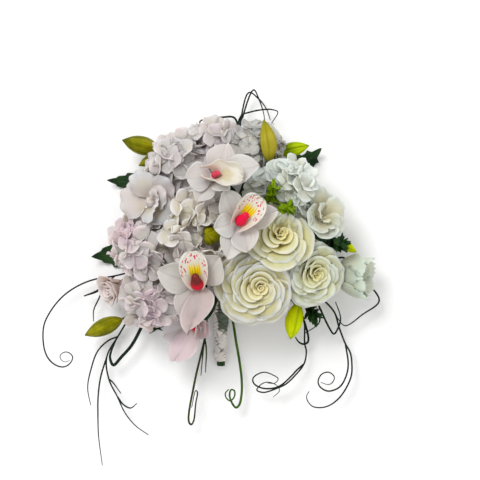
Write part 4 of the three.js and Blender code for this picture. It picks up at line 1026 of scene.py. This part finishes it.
def ringed_bloom(bloom, rings):
    """A bloom of petals in rings, on a hub. Its heart drifts off its axis."""
    draw = random.Random(bloom.seed)
    radius, depth, hub, drift = bloom.radius, bloom.depth, bloom.hub, bloom.drift
    where = frame_of(bloom.face, bloom.axis, bloom.turn)
    parts = Parts()
    for k, ring in enumerate(rings):
        _, out, up = (column[-1] for column in arc_table(ring.rise, ring.fall, ring.late))
        centred = drifted(where, drift, 1 - ring.rim)
        for angle, sweep in around_ring(ring.count, draw, k == 0):
            rim = ring.rim * radius * draw.uniform(0.96, 1.02)
            top = ring.height * depth + draw.uniform(-1, 1)
            root = max(0.6, rim - ring.length * radius * out)
            length = (rim - root) / out
            spec = SimpleNamespace(**dict(
                vars(bloom), angle=angle, sweep=sweep, root=root, length=length, rise=ring.rise,
                back=max(top - length * up, -0.97 * depth), fall=ring.fall + draw.uniform(-6, 6),
                late=ring.late, lean=ring.lean, wave=bloom.wave * (0.3 + ring.rim),
                phase=draw.uniform(0, 6.3)))
            columns = 20 if ring.rim > 0.3 else 14
            shape = clear(whorl_petal, spec, centred, 26, columns, 1.5, bloom.bead)
            if shape:
                parts.add(shape, min(1, max(0, 1 - ring.rim + draw.uniform(0, 0.1))))
    foot = [(0.5 * hub, -depth), (0.9 * hub, -0.97 * depth), (hub, -0.8 * depth), (0.8 * hub, -0.5 * depth)]
    parts.add(moved(lathe(foot, 18), where), 0.3)
    heart = radius / HEART_BLOOM
    bud = [(heart * r, z * depth) for r, z in HEART_BUD]
    parts.add(moved(lathe(bud, 14), drifted(where, drift, 1)), 1)
    piece(bloom.name, parts, LOOKS[bloom.look])


HEART_BUD = [(1.4, -0.6), (1.8, -0.4), (1.7, -0.24), (1.1, -0.16), (0.4, -0.14)]  # [radius, depths]
HEART_BLOOM = 49  # the radius of the bloom that this bud is the heart of


# Hydrangeas.


def floret_petal(draw, angle, size, lift):
    """One rounded, cupped petal of a floret that faces +Z."""
    curl, trough = draw.uniform(-0.2, 0.4), draw.uniform(0.05, 0.5)
    wave, phase, crease = draw.uniform(0.4, 1.3), draw.uniform(0, 6.3), draw.uniform(0, 0.6)

    def surface(s, w):
        half = 0.6 * size * (0.14 + 0.86 * np.sin(0.5 * math.pi * np.minimum(1, 1.3 * s)))
        half = half * (1 - 0.3 * np.clip((s - 0.66) / 0.34, 0, 1) ** 2)
        reach = 0.8 + size * (s - 0.2 * s**2 * w**2)
        up = lift + size * (curl * s**2 + 0.5 * trough * w**2 * s) + wave * s * np.sin(3 * w + phase)
        up -= crease * np.exp(-((w / 0.12) ** 2)) * (1 - s)
        return laid_out(angle, reach, half * w, up)

    return surface


EYE_PROFILE = [(0.5, -0.6), (0.9, 0), (0.9, 0.8), (0.3, 1.2)]


def hydrangea(head, seed):
    """A head of florets on a core, in two layers. A floret that would cross another piece sinks,
    and is left out if it can't clear it."""
    draw = random.Random(seed)
    radius = head.radius
    where = frame_of(head.centre, head.axis)
    parts = Parts()
    profile = [(math.sin(a), math.cos(a)) for a in np.linspace(math.pi - 0.2, 0.05, 14)]
    parts.add(moved(lathe([(CORE * radius * x, CORE * radius * z) for x, z in profile], 20), where), 0.0)
    lowest = math.cos(math.radians(head.lowest))
    for layer, (share, level) in enumerate(FLORET_LAYERS):
        count = round(share * FLORETS_PER_AREA * radius**2)
        for n in range(count):
            up = 1 - (1 - lowest) * (n + 0.5) / count
            around = n * math.pi * (3 - math.sqrt(5)) + 0.7 * layer
            flat = math.sqrt(1 - up * up)
            toward = np.array((flat * math.cos(around), flat * math.sin(around), up))
            stray = np.array([draw.gauss(0, 1) for _ in range(3)])
            tilt = unit(toward + head.facing * UP + head.spread * stray / 1.7)
            size = draw.uniform(*FLORET_SIZES)
            twist = draw.uniform(0, 90)
            distance = radius * (level + 0.1 * max(up, 0)) * draw.uniform(0.94, 1.04)
            own = draw.random()
            turns = [(twist + 90 * k + draw.uniform(-8, 8), draw.uniform(0.92, 1.06)) for k in range(4)]
            if head.clearing:
                *middle, room = head.clearing
                axes, origin = where
                if math.dist((distance * toward @ axes + origin)[:2], middle) < room:
                    continue
            for reach, span in FLORET_ROOM:
                local = frame_of(distance * reach * toward, tilt)
                petals = []
                for k, (turn, part) in enumerate(turns):
                    own_draw = random.Random(seed * 1000 + 4 * n + k)
                    petals.append(floret_petal(own_draw, turn, size * span * part, 0.6 * (k % 2)))
                free = [p for p in petals if not crosses(moved(moved(sheet(p, 3, 2, 1.0), local), where))]
                if len(free) == 4:
                    break
            for petal in free:
                parts.add(moved(moved(sheet(petal, 6, 6, PETAL), local), where), own)
            if len(free) > 2:
                parts.add(moved(moved(lathe(EYE_PROFILE, 7), local), where), own, look=1)
    piece(head.name, parts, LOOKS[head.look], EYE)


# Buds, leaves, filler and grass.


BUD_OUTLINE = [(0, 0.12), (0.04, 0.3), (0.13, 0.62), (0.26, 0.87), (0.4, 1), (0.54, 0.98), (0.66, 0.88),
               (0.78, 0.68), (0.88, 0.42), (0.95, 0.2), (1, 0.05)]  # [share of the length, of the radius]


def bud(spec):
    """An orchid bud: a bowed pod with three lobes and raised seams that narrows to a point."""
    axis = np.subtract(spec.tip, spec.base)
    length, radius = np.linalg.norm(axis), spec.radius
    around = angles(30)
    lobes = 1 - 0.11 * (1 - np.cos(3 * around)) + 0.05 * np.exp(-((np.sin(1.5 * around) / 0.14) ** 2))
    rings = []
    for share in np.linspace(0, 1, 28):
        r = radius * np.interp(share, *zip(*BUD_OUTLINE)) * lobes
        x = r * np.cos(around) + 0.18 * radius * math.sin(math.pi * share)
        rings.append(np.stack((x, r * np.sin(around), np.full(30, share * length)), -1))
    parts = Parts()
    parts.add(moved(loft(np.array(rings)), frame_of(spec.base, axis)), radius % 1)
    piece(spec.name, parts, LOOKS[spec.look])


def leaf(spec):
    """A serrated leaf on its stalk, lying on its rib and turned up at the tip and the edges."""
    root, tip = np.array(spec.stalk[-1], float), np.array(spec.tip, float)
    side = -unit(np.cross(tip - root, UP))
    lying = spec.name == "leaf_under"

    def surface(s, w):
        s = np.minimum(s, 0.995)
        saw = (s * TEETH) % 1
        tooth = np.where(saw < 0.8, (saw / 0.8) ** spec.hook, (1 - saw) / 0.2)
        outline = 0.07 * (1 - s) + np.sin(math.pi * s**0.7)
        half = spec.width * outline * (1 - spec.teeth * (1 - tooth) * np.abs(w) ** 3)
        rootward = np.clip(1 - s / FLAT["from"], 0, None)
        tipward = np.clip((s - FLAT["to"]) / (1 - FLAT["to"]), 0, None) ** 1.6
        point = root + (tip - root) * s[..., None] + (half * w)[..., None] * side
        up = LEAF / 2 + (root[2] - LEAF / 2) * rootward + (tip[2] - LEAF / 2) * tipward
        if not lying:
            waves = 1.2 * np.sin(9 * s + 2 * np.sign(w)) * np.abs(w) ** 2 * outline
            up = up + (3.5 * np.abs(w) * outline + np.maximum(waves, -0.4)) * (1 - tipward)
        point[..., 2] = up
        return point

    blade = sheet(surface, 5 * TEETH, 12, LEAF - 0.1)
    blade.points[:, 2] = np.maximum(blade.points[:, 2], 0.02)
    parts = Parts()
    parts.add(blade)
    stalk = smooth(spec.stalk + [tuple(root + 0.05 * (tip - root) * (1, 1, 0))], 6)
    parts.add(tube(stalk, 1.5))
    piece(spec.name, parts, LEAF_LOOK)


def sprig(spec, seed):
    """A stalk with small leaflets, forked at the tip, in turns round it."""
    draw = random.Random(seed)
    steps, count = 20, 34
    path = bezier(spec.stalk, steps)
    parts = Parts()
    parts.add(tube(path, np.linspace(1.3, 0.7, steps + 1)))

    def leaflet(s, w):
        half = 2.3 * (0.25 + np.sin(math.pi * (0.08 + 0.84 * s**0.9)))
        fork = 1.3 * s**3 * np.abs(w)
        return np.stack((half * w, 1.6 * s**2 - 0.5 * w**2, 10 * s + fork), -1)

    for k in range(count):
        place = (0.42 + 0.58 * (k + 0.5) / count) * steps
        step = int(place)
        after = path[min(steps, step + 1)]
        at = path[step] + (after - path[step]) * (place % 1)
        tangent = unit(after - path[step - 1])
        around = k * 2.4 + draw.random()
        first = unit(np.cross(tangent, (1, 0, 0)))
        out = math.cos(around) * first + math.sin(around) * np.cross(tangent, first)
        local = frame_of(at, out + draw.uniform(0.35, 0.9) * tangent, draw.uniform(0, 360))
        blade = sheet(leaflet, 6, 4, 0.6)
        blade = moved(blade._replace(points=blade.points * spec.size * draw.uniform(0.65, 1.0)), local)
        if not crosses(blade):
            parts.add(blade, draw.random())
    piece(spec.name, parts, LOOKS[spec.look])


def grass(name, strands):
    parts = Parts()
    for k, strand in enumerate(strands.split(";")):
        radius, route = strand.split(":")
        path = smooth([[float(x) for x in point.split()] for point in route.split(",")], 6)
        radii = float(radius) * np.interp(np.linspace(0, 1, len(path)), (0, 0.6, 1), (1, 0.85, 0.45))
        parts.add(tube(path, radii, 8, 0.8), own=k / 7)
    piece(name, parts, LOOKS[SLOT_OF[name]])


# The bouquet, in the order in which its pieces make room for one another.
stem_bundle()
ribbon_wrap()
for k, (bloom, form) in enumerate(zip(ORCHIDS, LIPS)):
    orchid(bloom, form, 20 + k)
for spec in BUDS:
    bud(spec)
for k, spec in enumerate(SPRIGS):
    sprig(spec, 40 + k)
RINGS = ROSE_RINGS, OPEN_RINGS, ROSE_RINGS, SIDE_RINGS, GARDENIA_RINGS, RUFFLE_RINGS, ROSEBUD_RINGS
for bloom, rings in zip(BLOOMS, RINGS):
    ringed_bloom(bloom, rings)
for k, head in enumerate(HYDRANGEAS):
    hydrangea(head, 80 + k)
for spec in LEAVES:
    leaf(spec)
for name, strands in GRASS.items():
    grass(name, strands)


# The stage, the lights and the camera.
def floor():
    mesh = bpy.data.meshes.new("floor")
    half = 3.0
    corners = [(-half, -half, 0), (half, -half, 0), (half, half, 0), (-half, half, 0)]
    mesh.from_pydata(corners, [], [(0, 1, 2, 3)])
    mesh.materials.append(FLOOR)
    linked("floor", mesh)


def light(name, at, size, power):
    lamp = bpy.data.lights.new(name, "AREA")
    lamp.shape = "DISK"
    lamp.size = size
    lamp.energy = power
    made = linked(name, lamp)
    made.location = at
    made.rotation_euler = (-Vector(at)).to_track_quat("-Z", "Y").to_euler()


def camera():
    """Straight over the bouquet, as the photograph looks at its face."""
    lens = bpy.data.cameras.new("camera")
    lens.lens = 88.75
    lens.sensor_width = 36
    made = linked("camera", lens)
    made.location = (0.015, -0.003, 1.5)
    bpy.context.scene.camera = made


floor()
light("key", (-0.55, 0.75, 1.45), 0.7, 17)
light("fill", (0.9, -0.5, 1.2), 1.2, 3)
camera()
world = bpy.data.worlds.new("studio")
bpy.context.scene.world = world
world.use_nodes = True
world.node_tree.nodes["Background"].inputs["Color"].default_value = (1, 1, 1, 1)
world.node_tree.nodes["Background"].inputs["Strength"].default_value = 0.74
bpy.context.scene.view_settings.view_transform = "Standard"
